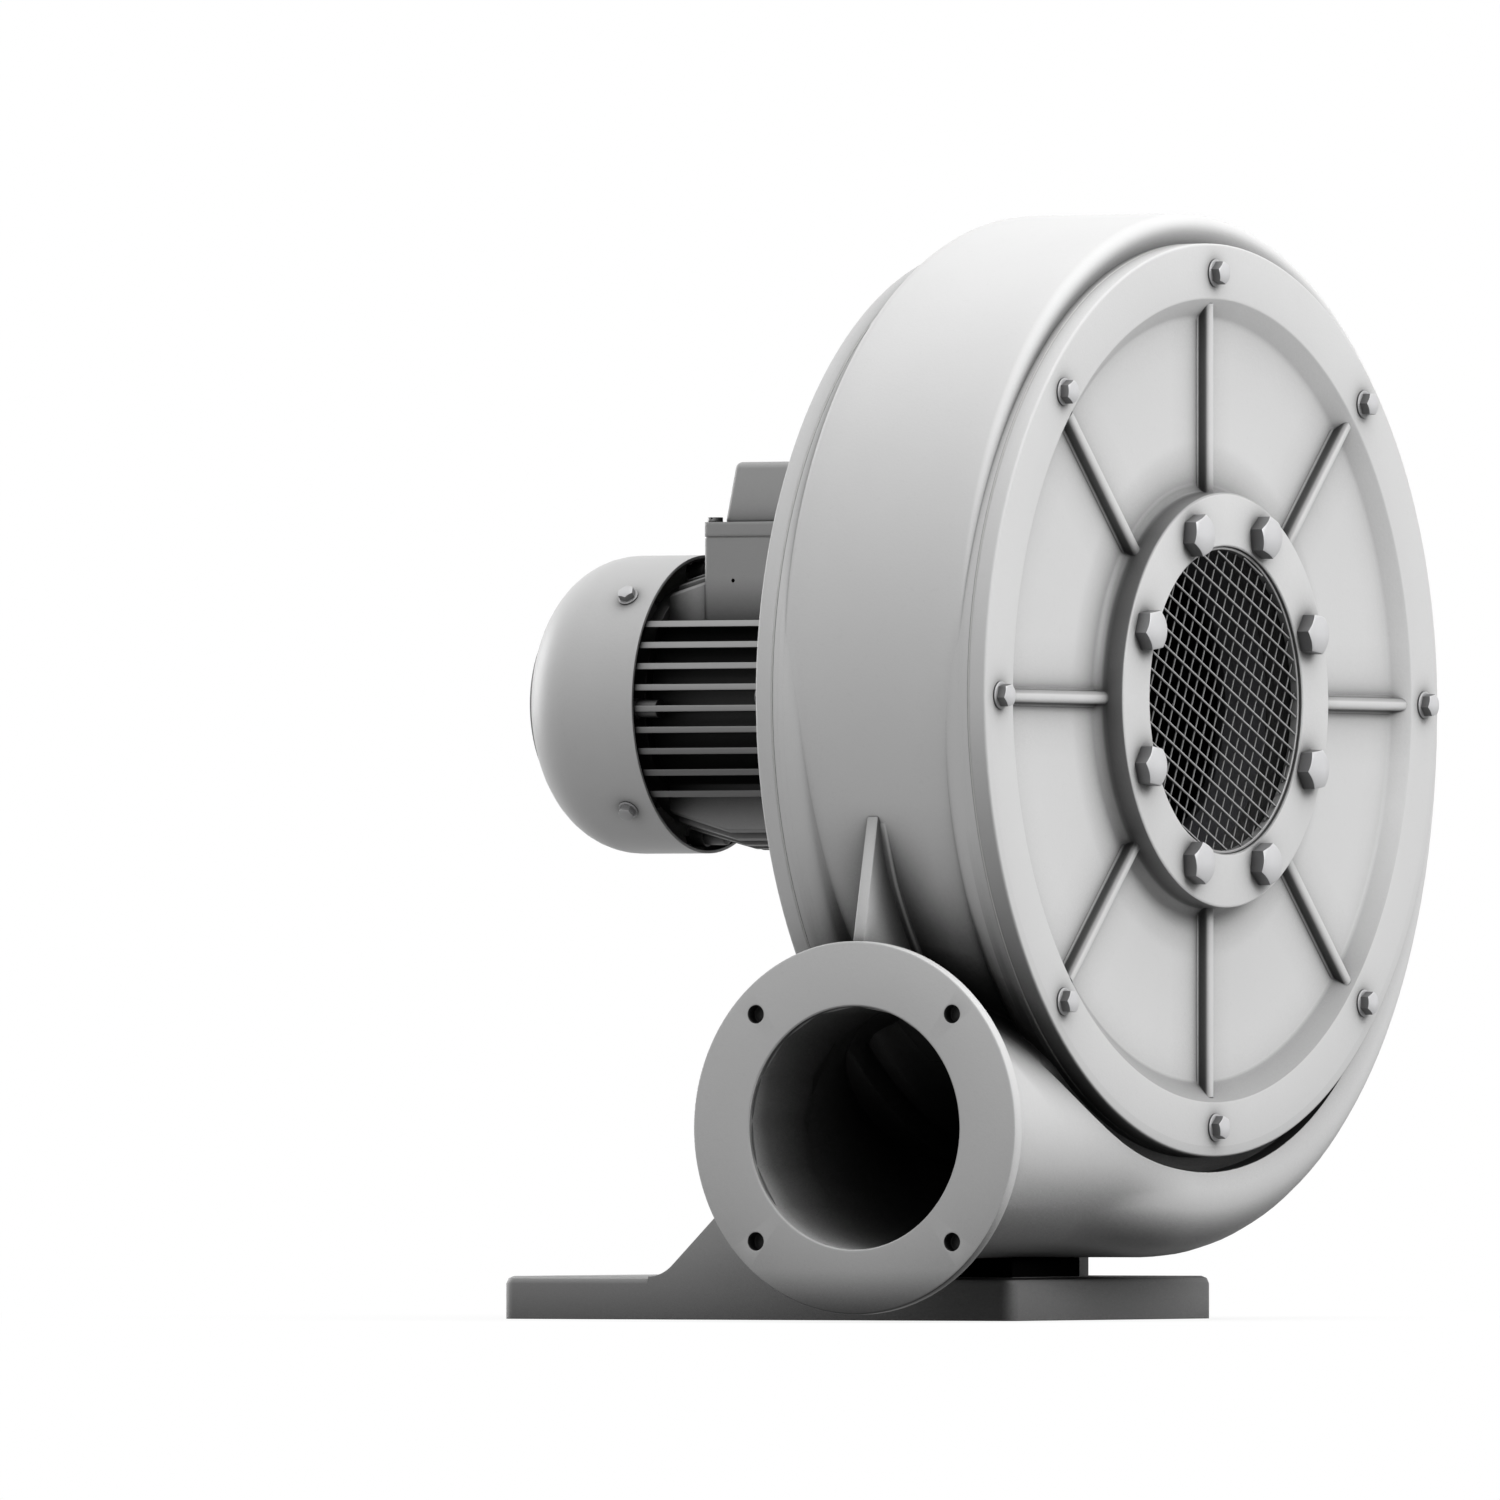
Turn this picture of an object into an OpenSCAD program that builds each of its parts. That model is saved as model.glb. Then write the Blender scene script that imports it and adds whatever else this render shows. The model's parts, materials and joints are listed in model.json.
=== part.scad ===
// Direct-driven centrifugal blower: cast scroll casing on a cast foot, bolted
// side covers, a backward-curved impeller on the shaft of a flange motor.
// X runs along the shaft towards the inlet, Y across it away from the outlet,
// Z up from the floor. The origin is the centre of the foot's bolt pattern.

/* [Main] */
// Height of the shaft above the floor
shaft_h = 403; // [395:1:440]
// Distance from the foot's centre to the front cover's rim face
cover_face_x = 269; // [265:1:273]

/* [Scroll casing] */
// Width of the casing between its two side planes
casing_w = 136.5; // [130:0.5:142]
// Distance from the rim face back to the casing's front side plane
casing_set = 17.5; // [17.5:0.5:18]
// Clear radius of the openings that the covers close
opening_r = 262; // [258:0.5:264]
// Distance from an opening's edge out to the scroll's wall at ten o'clock
scroll_room = 44; // [42:0.5:48]
// Growth of the scroll radius from one quarter to the next
scroll_step = 22.5; // [20:0.5:24]
// Wall thickness of the casting
casing_wall = 6.2; // [5:0.1:7]
// Rounding of the casing's outer corners
casing_round = 17.5; // [12:0.5:20]
// Rounding of the corners where the scroll runs into the outlet duct
run_round = 32; // [26:1:40]
// Thickness of the seat ring around each opening
seat_t = 4.5; // [3.5:0.5:4.5]
// Radial room around each cover in the casing's pocket
pocket_room = 10; // [6:0.5:12]

/* [Outlet] */
// Outer radius of the round outlet duct
duct_r = 84.5; // [82:0.5:86]
// Bore radius of the round outlet duct
duct_bore_r = 78.3; // [74:0.1:79]
// Distance from the casing's front side plane back to the duct's axis
duct_set = 73.5; // [70:0.5:76]
// Distance from the shaft axis sideways to the outlet flange's face
outlet_reach = 308.5; // [305:0.5:330]
// Outer radius of the outlet flange
outlet_flange_r = 120; // [116:0.5:122]
// Thickness of the outlet flange
outlet_flange_t = 9.5; // [8:0.5:14]
// Distance between the outlet flange's holes
outlet_pitch = 146.2; // [140:0.2:150]
// Radius of the outlet flange's holes
outlet_hole_r = 6; // [4.5:0.5:7]
// Thickness of the rib between the outlet flange and the scroll
outlet_rib_t = 8.5; // [6:0.5:12]

/* [Covers] */
// Width of a cover's rim outside the opening
cover_lap = 35; // [34:0.5:37]
// Thickness of a cover's rim
cover_rim_t = 12; // [10:0.5:14]
// Depth of a cover's recess below its rim face
cover_recess = 10.4; // [8:0.2:12]
// Distance from the opening's edge in to the recess at the rim face
recess_lap = 1.5; // [1:0.5:6]
// Thickness of a cover's plate
cover_plate_t = 8; // [6:0.5:10]
// Width of a cover's radial ribs
cover_rib_w = 8.5; // [6:0.5:10]
// Number of radial ribs and of cover bolts
cover_bolts_n = 8; // [8:1:8]
// Distance from the opening's edge out to the circle of cover bolts
bolt_lap = 15.8; // [14:0.2:18]
// Radius of the hub on each cover
hub_r = 135; // [132:0.5:138]
// Height of the inlet hub above the rim face
hub_h = 9; // [6:0.5:14]
// Radius of the inlet bore
inlet_r = 100; // [97:0.5:101]
// Thickness of a cover gasket
gasket_t = 1; // [0.5:0.5:1]
// Radial clearance of a cover's spigot in the casing
spigot_gap = 0.2; // [0.1:0.05:0.4]

/* [Inlet] */
// Number of bolts in the inlet hub
inlet_bolts_n = 8; // [4:4:8]
// Radius of the circle of inlet bolts
inlet_bolt_ring = 115; // [113:0.5:117]
// Distance between neighbouring wires of the inlet guard
guard_pitch = 10.7; // [8:0.1:16]
// Diameter of a guard wire
guard_wire_d = 1.4; // [1:0.1:2]
// Angle of the front layer of guard wires
guard_angle = -25; // [-45:1:45]
// Distance from the hub's face back to the guard
guard_set = 2.5; // [2:0.5:4]
// Radius at the small end of the inlet nozzle
nozzle_r = 91; // [86:0.5:92]

/* [Impeller] */
// Outer radius of the impeller
impeller_r = 250; // [240:1:252]
// Distance from the casing's rear side plane to the impeller's back disc
impeller_set = 28; // [24:1:32]
// Width between back disc and shroud at the impeller's rim
impeller_w = 48; // [40:1:52]
// Number of impeller blades
blades_n = 10; // [7:1:12]
// Radius of a blade's curve
blade_curve_r = 312; // [305:1:320]
// Distance from the shaft axis to the centre of a blade's curve
blade_offset = 222.3; // [220:0.1:226]
// Sheet thickness of disc, shroud and blades
sheet_t = 3; // [2:0.5:4]
// Radius where the blades begin
blade_root_r = 112; // [106:1:118]

/* [Shaft] */
// Radius of the shaft at the impeller
shaft_r = 14; // [13:0.5:14.5]
// Radius of the shaft at the bearings
journal_r = 15; // [15:0.5:16]
// Radial running clearance around the shaft
run_gap = 0.05; // [0.02:0.01:0.1]
// Radial clearance of parts fitted on the shaft
fit_gap = 0.04; // [0.01:0.01:0.05]

/* [Motor] */
// Distance from the rear cover's rim face to the motor flange's face
motor_set = 1; // [0.5:0.5:2]
// Radius of the motor flange
motor_flange_r = 125; // [122:0.5:130]
// Radius of the motor flange's bolt circle
motor_bolt_ring = 107.5; // [106:0.5:110]
// Radius of the centring shoulder on the motor flange
motor_pilot_r = 90; // [85:1:92]
// Length of the finned motor housing
motor_len = 178; // [176:1:184]
// Outer radius of the housing's tube between its fins
motor_tube_r = 72; // [70:0.5:74]
// Bore radius of the motor housing
motor_bore_r = 66; // [64:0.5:67]
// Radius that the cooling fins reach
fin_tip_r = 94.5; // [92:0.5:95]
// Thickness of a cooling fin
fin_t = 4; // [3:0.5:5]
// Distance between neighbouring cooling fins
fin_pitch = 13.9; // [12:0.1:15]
// Number of cooling fins on each side
fins_side_n = 9; // [7:2:9]
// Number of cooling fins above and below
fins_top_n = 9; // [5:2:9]
// Height of the middle side fin above the shaft axis
fin_shift = -4; // [-6:0.5:0]

/* [Fan cowl] */
// Outer radius of the fan cowl
cowl_r = 98; // [97:0.5:102]
// Length of the cowl's straight part
cowl_straight = 49.5; // [46:0.5:54]
// Radius of the cowl's rounded end
cowl_round = 48; // [44:1:50]
// Wall thickness of the cowl
cowl_wall = 2; // [1.5:0.5:2.5]
// Radius of the cowl's end disc
cowl_disc_r = 64; // [60:1:66]
// Radius of the cooling fan
fan_r = 82; // [70:1:84]
// Number of blades on the cooling fan
fan_blades_n = 7; // [5:1:11]

/* [Terminal box] */
// Length of the terminal box along the shaft
box_l = 104; // [98:1:108]
// Width of the terminal box
box_w = 103; // [98:1:106]
// Height of the box's rim above the shaft axis
box_top = 108; // [106:1:114]
// Distance from the shaft axis up to the box's lower edge
box_low = 53; // [52.5:0.5:53]
// Thickness of the terminal box lid
lid_t = 10.5; // [8:0.5:12]
// Height of the raised middle of the lid
lid_dome_h = 39.5; // [30:0.5:44]
// Wall thickness of the terminal box
box_wall = 5; // [4:0.5:6]

/* [Foot] */
// Length of the foot along the shaft
foot_l = 386; // [378:1:400]
// Width of the foot
foot_w = 266; // [260:1:280]
// Height of the foot's rim
foot_h = 28; // [24:0.5:32]
// Thickness of the foot's top plate and side webs
foot_wall = 10; // [8:0.5:12]
// Height that the foot's webs reach on the rear cover
web_h = 189; // [182:1:196]
// Distance between the foot's holes along the shaft
foot_hole_x = 330; // [320:1:334]
// Distance between the foot's holes across the shaft
foot_hole_y = 210; // [200:1:222]
// Radius of the foot's holes
foot_hole_r = 7; // [5:0.5:9]

/* [Fasteners] */
// Thread radius of the cover bolts
m8_r = 4; // [3:0.5:4]
// Thread radius of the inlet bolts
m16_r = 8; // [6:0.5:8]
// Thread radius of the motor flange bolts
m12_r = 6; // [5:0.5:6.5]
// Thread radius of the small screws
m6_r = 3; // [2:0.5:3]
// Radial clearance of a threaded hole around its bolt
thread_gap = 0.05; // [0.02:0.01:0.1]
// Radial clearance of a plain hole around its bolt
bolt_gap = 0.5; // [0.3:0.1:0.8]

/* [Hidden] */
$fn = 96;

eps = 0.01;
arc_steps = 8;

// Planes along the shaft
front_plane = cover_face_x - casing_set;
rear_plane = front_plane - casing_w;
rear_seat_x = rear_plane - seat_t;
rear_rim_x = rear_seat_x - gasket_t - cover_rim_t;
hub_face_x = cover_face_x + hub_h;
spigot_drop = cover_recess + cover_plate_t;
front_plate_back = cover_face_x - spigot_drop;
rear_plate_back = rear_rim_x + spigot_drop;
spigot_r = opening_r - spigot_gap;
flange_face_x = rear_rim_x - motor_set;

// Covers
cover_r = opening_r + cover_lap;
pocket_r = cover_r + pocket_room;
recess_r = opening_r - recess_lap;
cover_bolt_ring = opening_r + bolt_lap;
bracket_bolts_a = [-112.5, -90, -67.5];
extra_bolts_a = [-112.5, -67.5];
inlet_bolts_a = 22.5;
nozzle_screws_n = 6;
nozzle_screw_r = 2.5;
nozzle_t = 2.5;
nozzle_screw_ring = inlet_r + 10;

// Scroll
scroll_r = opening_r + scroll_room;
scroll_shift = scroll_step / 2;
quarter_b_r = scroll_r + scroll_step;
quarter_c_r = quarter_b_r + scroll_step;
quarter_d_r = scroll_r - scroll_step;
profile_r0 = opening_r - 4 * scroll_step;
duct_x = front_plane - duct_set;
duct_drop = quarter_c_r + scroll_shift - duct_r;
run_steps = 3;
blend_l = 0.42 * opening_r;
blend_grow = 15.5;
rib_drop = 0.3 * opening_r;
rib_root = 74;
flange_back = outlet_reach - outlet_flange_t;
boss_r = m8_r + 7;
boss_depth = 16;

// Impeller
disc_x = rear_plane + impeller_set;
disc_front = disc_x + sheet_t;
shroud_rim_x = disc_front + impeller_w;
eye_r = nozzle_r + 5;
shroud_neck_x = shroud_rim_x + 22;
shroud_eye_x = shroud_rim_x + 29;
nozzle_end_x = shroud_eye_x - 4;
impeller_hub_r = 40;
hub_boss_r = 25;
hub_flange_t = 10;
hub_boss_l = 32;
rivet_ring = 33;
rivets_n = 8;
rivet_r = 2.5;
shaft_end_x = disc_front + hub_boss_l - 3;
key_w = 8;
key_h = 7;
key_l = 30;
impeller_bolt_r = 5;

// Motor
flange_t = 13;
pilot_h = 4;
shield_back_x = flange_face_x - flange_t;
housing_x1 = shield_back_x - 20;
housing_x0 = housing_x1 - motor_len;
bearing_r = 31;
bearing_w = 16;
front_bearing_x = housing_x1 + 4;
rear_bearing_x = housing_x0 + 8;
top_fin_share = 0.84;
end_shield_t = 10;
shield_r = 80;
shield_boss_r = 6;
shield_boss_l = 15;
core_l = 110;
core_x = (housing_x0 + housing_x1) / 2 - core_l / 2;
core_bore_r = 42;
air_gap = 0.5;
winding_l = 24;
fan_x = housing_x0 - 62;
shaft_rear_x = fan_x - 3;
ball_r = 4.6;
race_gap = 0.3;
ball_ring = (bearing_r + journal_r) / 2;
balls_n = 9;

// Cowl
cowl_x1 = housing_x0 + 0.5;
cowl_x0 = cowl_x1 - cowl_straight;
cowl_end_x = cowl_x0 - cowl_round;
cowl_bolt_x = cowl_x1 - 19.5;
lug_r = cowl_r - cowl_wall - 0.1;
lug_x0 = cowl_bolt_x - 7;
lug_l = housing_x0 - end_shield_t + 1 - lug_x0;
lug_w = 18;
slot_r0 = 12;
slot_step = 10;
slot_w = 5;
slot_bar = 6;

// Terminal box
box_x0 = housing_x0 + 27;
box_x = box_x0 + box_l / 2;
box_seat_r = motor_tube_r - 0.5;
board_z = motor_tube_r + box_wall;
lid_screw_inset = 6;
gland_z = box_top - 16;
gland_r = 10;
earth_y = 30;
earth_r = 2;

// Foot
foot_round = 10;
foot_edge = 5;
pad_w = 52;
web_slope = 0.96;
web_round = 26;
bracket_x = rear_rim_x;
saddle_x0 = duct_x - 36;
saddle_far_y = -36;

// Axes: the local z axis lies on the shaft, local x runs along Y, local y up
module on_shaft(x) {
  translate([x, 0, shaft_h]) rotate([90, 0, 90]) children();
}

module ring(r_in, r_out, h) {
  difference() {
    cylinder(r = r_out, h = h);
    translate([0, 0, -1]) cylinder(r = r_in, h = h + 2);
  }
}

module around(n, r, start = 0) {
  for (i = [0 : n - 1])
    rotate([0, 0, start + i * 360 / n]) translate([r, 0, 0]) children();
}

function arc(cx, cy, r, a0, a1, n = arc_steps) =
  [for (i = [0 : n]) let (a = a0 + (a1 - a0) * i / n) [cx + r * cos(a), cy + r * sin(a)]];

// Hexagon head bolt with its seat at z = 0, head above, shank below
module hex_bolt(shank_r, shank_l, af = 3) {
  cylinder(r = af / 2 * shank_r / cos(30), h = 1.25 * shank_r, $fn = 6);
  translate([0, 0, -shank_l]) cylinder(r = shank_r, h = shank_l + eps);
}

// The same with a round flange under the head
module flange_bolt(shank_r, shank_l) {
  cylinder(r = 2.25 * shank_r, h = 0.5 * shank_r);
  cylinder(r = 1.65 * shank_r / cos(30), h = 2 * shank_r, $fn = 6);
  translate([0, 0, -shank_l]) cylinder(r = shank_r, h = shank_l + eps);
}

// Half section of the scroll: a box with rounded outer corners
function section(r, w, round) = concat(
  [[profile_r0, 0]],
  arc(r - round, round, round, -90, 0),
  arc(r - round, w - round, round, 0, 90),
  [[profile_r0, w]]
);

module quarter(cx, cy, r, w, round, a0) {
  translate([cx, cy, 0]) rotate([0, 0, a0]) rotate_extrude(angle = 90)
    polygon(section(r, w, round));
}

module scroll_quarters(inset) {
  w = casing_w - 2 * inset;
  round = casing_round - inset;
  s = scroll_shift;
  quarter(-s, s, quarter_d_r - inset, w, round, 180);
  quarter(s, s, scroll_r - inset, w, round, 90);
  quarter(s, -s, quarter_b_r - inset, w, round, 0);
  for (i = [0 : run_steps - 1])
    translate([-s, -s, 0]) rotate([0, 0, -90 + i * 90 / run_steps]) rotate_extrude(angle = 90 / run_steps)
      polygon(section(quarter_c_r - inset, w, step_round(i) - inset));
}

// Corner rounding of one sector of the last quarter, growing towards the duct
function step_round(i) = run_round - i * (run_round - casing_round) / run_steps;

// Length in which the rounded section of the scroll runs out into the round duct
module duct_blend(inset) {
  s = scroll_shift;
  outline = section(quarter_c_r - inset, casing_w - 2 * inset, run_round - inset);
  intersection() {
    translate([-s + eps, -s, rear_plane + inset]) rotate([0, -90, 0]) linear_extrude(height = blend_l)
      polygon([for (p = outline) [p[1], -p[0]]]);
    translate([-s + eps, -duct_drop, duct_x]) rotate([0, -90, 0])
      cylinder(r1 = duct_r + blend_grow - inset, r2 = duct_r - 0.5 - inset, h = blend_l);
  }
}

// Round duct: a quarter torus below the shaft, then a straight pipe
module duct(r, reach) {
  s = scroll_shift;
  translate([-s, -s, 0]) rotate([0, 0, -90]) rotate_extrude(angle = 90)
    translate([duct_drop - s, 0]) circle(r = r);
  translate([-s + eps, -duct_drop, 0]) rotate([0, -90, 0]) cylinder(r = r, h = reach - s);
}

module outlet_rib() {
  s = scroll_shift;
  wall_y = -s - sqrt(pow(quarter_d_r, 2) - pow(rib_drop + s, 2));
  translate([0, 0, duct_x - outlet_rib_t / 2 - 2]) linear_extrude(height = outlet_rib_t)
    polygon([
      [-flange_back - eps, -duct_drop + outlet_flange_r - 3], [wall_y - 3, -rib_drop],
      [wall_y + 16, -rib_drop - 11], [wall_y + rib_root, -duct_drop + duct_r - 2],
      [-flange_back - eps, -duct_drop + duct_r - 4]
    ]);
}

module volute_casing() color("lightgray") {
  cover_screw = m8_r + thread_gap;
  on_shaft(0) difference() {
    union() {
      difference() {
        union() {
          translate([0, 0, rear_plane]) scroll_quarters(0);
          translate([0, 0, duct_x]) duct(duct_r, flange_back);
          duct_blend(0);
        }
        translate([0, 0, front_plane]) cylinder(r = pocket_r, h = 60);
        translate([0, 0, rear_plane - 60]) cylinder(r = pocket_r, h = 60);
      }
      translate([0, 0, front_plane]) cylinder(r = cover_r, h = seat_t);
      translate([0, 0, rear_seat_x]) cylinder(r = cover_r, h = seat_t);
      translate([-outlet_reach, -duct_drop, duct_x]) rotate([0, 90, 0])
        cylinder(r = outlet_flange_r, h = outlet_flange_t);
      outlet_rib();
    }
    difference() {
      union() {
        translate([0, 0, rear_plane + casing_wall]) scroll_quarters(casing_wall);
        translate([0, 0, duct_x]) duct(duct_bore_r, outlet_reach + 1);
        duct_blend(casing_wall);
      }
      translate([0, 0, front_plane - casing_wall]) cylinder(r = pocket_r + casing_wall, h = 60);
      translate([0, 0, rear_plane + casing_wall - 60]) cylinder(r = pocket_r + casing_wall, h = 60);
      around(cover_bolts_n, cover_bolt_ring, 0) {
        translate([0, 0, front_plane - boss_depth]) cylinder(r = boss_r, h = boss_depth);
        translate([0, 0, rear_plane]) cylinder(r = boss_r, h = boss_depth);
      }
    }
    translate([0, 0, rear_seat_x - 1]) cylinder(r = opening_r, h = casing_w + 2 * seat_t + 2);
    around(cover_bolts_n, cover_bolt_ring, 0) {
      translate([0, 0, front_plane + seat_t - 19]) cylinder(r = cover_screw, h = 20);
      translate([0, 0, rear_seat_x - 1]) cylinder(r = cover_screw, h = 20);
    }
    for (a = extra_bolts_a)
      rotate([0, 0, a]) translate([cover_bolt_ring, 0, rear_seat_x - 1]) cylinder(r = cover_screw, h = 9);
    for (y = [-1, 1], z = [-1, 1])
      translate([-outlet_reach - 1, -duct_drop + z * outlet_pitch / 2, duct_x + y * outlet_pitch / 2])
        rotate([0, 90, 0]) cylinder(r = outlet_hole_r, h = outlet_flange_t + 2);
  }
}

// Half section of a cover from its rim face at z = 0 inwards to negative z
module cover_blank(hub_top, bore) {
  fillet = cover_recess;
  rotate_extrude() polygon(concat(
    [[bore, -spigot_drop], [spigot_r, -spigot_drop], [spigot_r, -cover_rim_t],
     [cover_r, -cover_rim_t], [cover_r, -0.8], [cover_r - 0.8, 0], [recess_r, 0],
     [recess_r - 1.1 * cover_recess, -cover_recess]],
    arc(hub_r + fillet, -cover_recess + fillet, fillet, -90, -180),
    [[hub_r, hub_top - 0.8], [hub_r - 0.8, hub_top], [bore, hub_top]]
  ));
}

// Radial rib with a rounded top that runs out in the slope of the rim
module cover_rib() {
  top = -2;
  half = cover_rib_w / 2;
  l = recess_r - 3 - hub_r;
  translate([0, 0, top - half]) rotate([0, 90, 0]) cylinder(r = half, h = l);
  translate([0, -half, -cover_recess - 1]) cube([l, cover_rib_w, cover_recess + 1 + top - half]);
}

module bolt_holes(n, ring_r, hole_r, depth) {
  around(n, ring_r, 0) translate([0, 0, -depth - 1]) cylinder(r = hole_r, h = depth + 2);
}

module front_cover() color("gainsboro") {
  on_shaft(cover_face_x) difference() {
    union() {
      cover_blank(hub_h, inlet_r);
      around(cover_bolts_n, hub_r - 1) cover_rib();
    }
    bolt_holes(cover_bolts_n, cover_bolt_ring, m8_r + bolt_gap, cover_rim_t);
    around(inlet_bolts_n, inlet_bolt_ring, inlet_bolts_a) translate([0, 0, hub_h - 3 * m16_r])
      cylinder(r = m16_r + thread_gap, h = 3 * m16_r + 1);
    around(nozzle_screws_n, nozzle_screw_ring) translate([0, 0, -spigot_drop - 1])
      cylinder(r = nozzle_screw_r + thread_gap, h = 13);
  }
}

module cover_gasket() {
  difference() {
    ring(opening_r, cover_r, gasket_t - fit_gap);
    translate([0, 0, gasket_t]) bolt_holes(cover_bolts_n, cover_bolt_ring, m8_r + bolt_gap, gasket_t);
  }
}

module front_cover_gasket() color("dimgray") {
  on_shaft(front_plane + seat_t) cover_gasket();
}

module cover_bolt() {
  flange_bolt(m8_r, cover_rim_t + gasket_t + 4 * m8_r);
}

module front_cover_bolts() color("silver") {
  on_shaft(cover_face_x) around(cover_bolts_n, cover_bolt_ring) cover_bolt();
}

module inlet_guard_ring() color("silver") {
  on_shaft(hub_face_x - guard_set - 5) ring(inlet_r - 2, inlet_r - 0.1, 5);
}

// One layer of parallel wires across the guard ring
module wire_layer() {
  r = inlet_r - 2 - 0.05;
  n = floor((r - guard_wire_d) / guard_pitch);
  for (i = [-n : n]) {
    half = sqrt(r * r - pow(abs(i) * guard_pitch + guard_wire_d / 2, 2));
    translate([-half, i * guard_pitch, 0]) rotate([0, 90, 0]) cylinder(r = guard_wire_d / 2, h = 2 * half);
  }
}

module inlet_guard() color("silver") {
  on_shaft(hub_face_x - guard_set - 1.2) {
    rotate([0, 0, guard_angle]) wire_layer();
    translate([0, 0, -guard_wire_d - 0.02]) rotate([0, 0, guard_angle + 90]) wire_layer();
  }
}

module inlet_bolts() color("silver") {
  on_shaft(hub_face_x) around(inlet_bolts_n, inlet_bolt_ring, inlet_bolts_a)
    rotate([0, 0, 30]) hex_bolt(m16_r, 2.75 * m16_r);
}

// Spun nozzle that leads the air from the cover into the impeller's eye
module inlet_nozzle() color("darkgray") {
  depth = front_plate_back - nozzle_end_x;
  on_shaft(front_plate_back) difference() {
    rotate_extrude() polygon(concat(
      [[nozzle_screw_ring + 10, 0], [nozzle_screw_ring + 10, -nozzle_t], [inlet_r + nozzle_t, -nozzle_t]],
      [[nozzle_r + nozzle_t, -depth + 6], [nozzle_r + nozzle_t, -depth], [nozzle_r, -depth]],
      [[nozzle_r, -depth + 6], [inlet_r, 0]]
    ));
    around(nozzle_screws_n, nozzle_screw_ring) translate([0, 0, -nozzle_t - 1])
      cylinder(r = nozzle_screw_r + bolt_gap, h = nozzle_t + 2);
  }
}

module nozzle_screws() color("silver") {
  on_shaft(front_plate_back - nozzle_t) rotate([180, 0, 0]) around(nozzle_screws_n, nozzle_screw_ring)
    hex_bolt(nozzle_screw_r, 12, 3.2);
}

module rear_cover() color("lightgray") {
  on_shaft(rear_rim_x) mirror([0, 0, 1]) difference() {
    union() {
      cover_blank(motor_set, shaft_r + 11);
      around(cover_bolts_n, hub_r - 1) cover_rib();
    }
    bolt_holes(cover_bolts_n, cover_bolt_ring, m8_r + bolt_gap, cover_rim_t);
    for (a = extra_bolts_a)
      rotate([0, 0, a]) translate([cover_bolt_ring, 0, -cover_rim_t - 1])
        cylinder(r = m8_r + bolt_gap, h = cover_rim_t + 2);
    translate([0, 0, motor_set - pilot_h - 0.2]) cylinder(r = motor_pilot_r + thread_gap, h = pilot_h + 1);
    around(4, motor_bolt_ring, 45) translate([0, 0, motor_set - 17])
      cylinder(r = m12_r + thread_gap, h = 18);
    around(4, shaft_r + 22, 0) translate([0, 0, -spigot_drop - 1]) cylinder(r = m6_r + thread_gap, h = 11);
  }
}

module rear_cover_gasket() color("dimgray") {
  on_shaft(rear_seat_x - gasket_t) difference() {
    cover_gasket();
    for (a = extra_bolts_a)
      rotate([0, 0, a]) translate([cover_bolt_ring, 0, -1]) cylinder(r = m8_r + bolt_gap, h = gasket_t + 2);
  }
}

module rear_cover_bolts() color("silver") {
  on_shaft(rear_rim_x) for (i = [0 : cover_bolts_n - 1]) {
    a = i * 360 / cover_bolts_n;
    if (a != 270) rotate([0, 0, a]) translate([cover_bolt_ring, 0, 0]) rotate([180, 0, 0]) cover_bolt();
  }
}

module shaft_seal() color("dimgray") {
  on_shaft(rear_plate_back - 9) ring(shaft_r + run_gap, shaft_r + 11 - thread_gap, 9);
}

module seal_retainer() color("silver") {
  on_shaft(rear_plate_back) difference() {
    ring(shaft_r + 1, shaft_r + 30, 5);
    around(4, shaft_r + 22, 0) translate([0, 0, -1]) cylinder(r = m6_r + bolt_gap, h = 7);
  }
}

module seal_screws() color("silver") {
  on_shaft(rear_plate_back + 5) around(4, shaft_r + 22, 0) hex_bolt(m6_r, 14, 3.3);
}

// Rounded block of the foot's rim
module foot_block() {
  x = foot_l / 2 - foot_round;
  y = foot_w / 2 - foot_round;
  hull() for (i = [-1, 1], j = [-1, 1]) translate([i * x, j * y, 0]) {
    cylinder(r = foot_round, h = foot_h - foot_edge, $fn = 32);
    cylinder(r = foot_round - 0.3 * foot_edge, h = foot_h - 0.3 * foot_edge, $fn = 32);
    cylinder(r = foot_round - foot_edge, h = foot_h, $fn = 32);
  }
}

// Side web: rises from the foot's top in a curve to the bracket plate
module foot_web() {
  rise_x = bracket_x - (web_h - foot_h) / web_slope;
  angle = atan(web_slope);
  lead = web_round * tan(angle / 2);
  linear_extrude(height = foot_wall) polygon(concat(
    [[bracket_x, foot_h - foot_edge - 1], [bracket_x, web_h]],
    arc(rise_x - lead, foot_h + web_round, web_round, -90 + angle, -90),
    [[rise_x - lead, foot_h - foot_edge - 1]]
  ));
}

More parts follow.
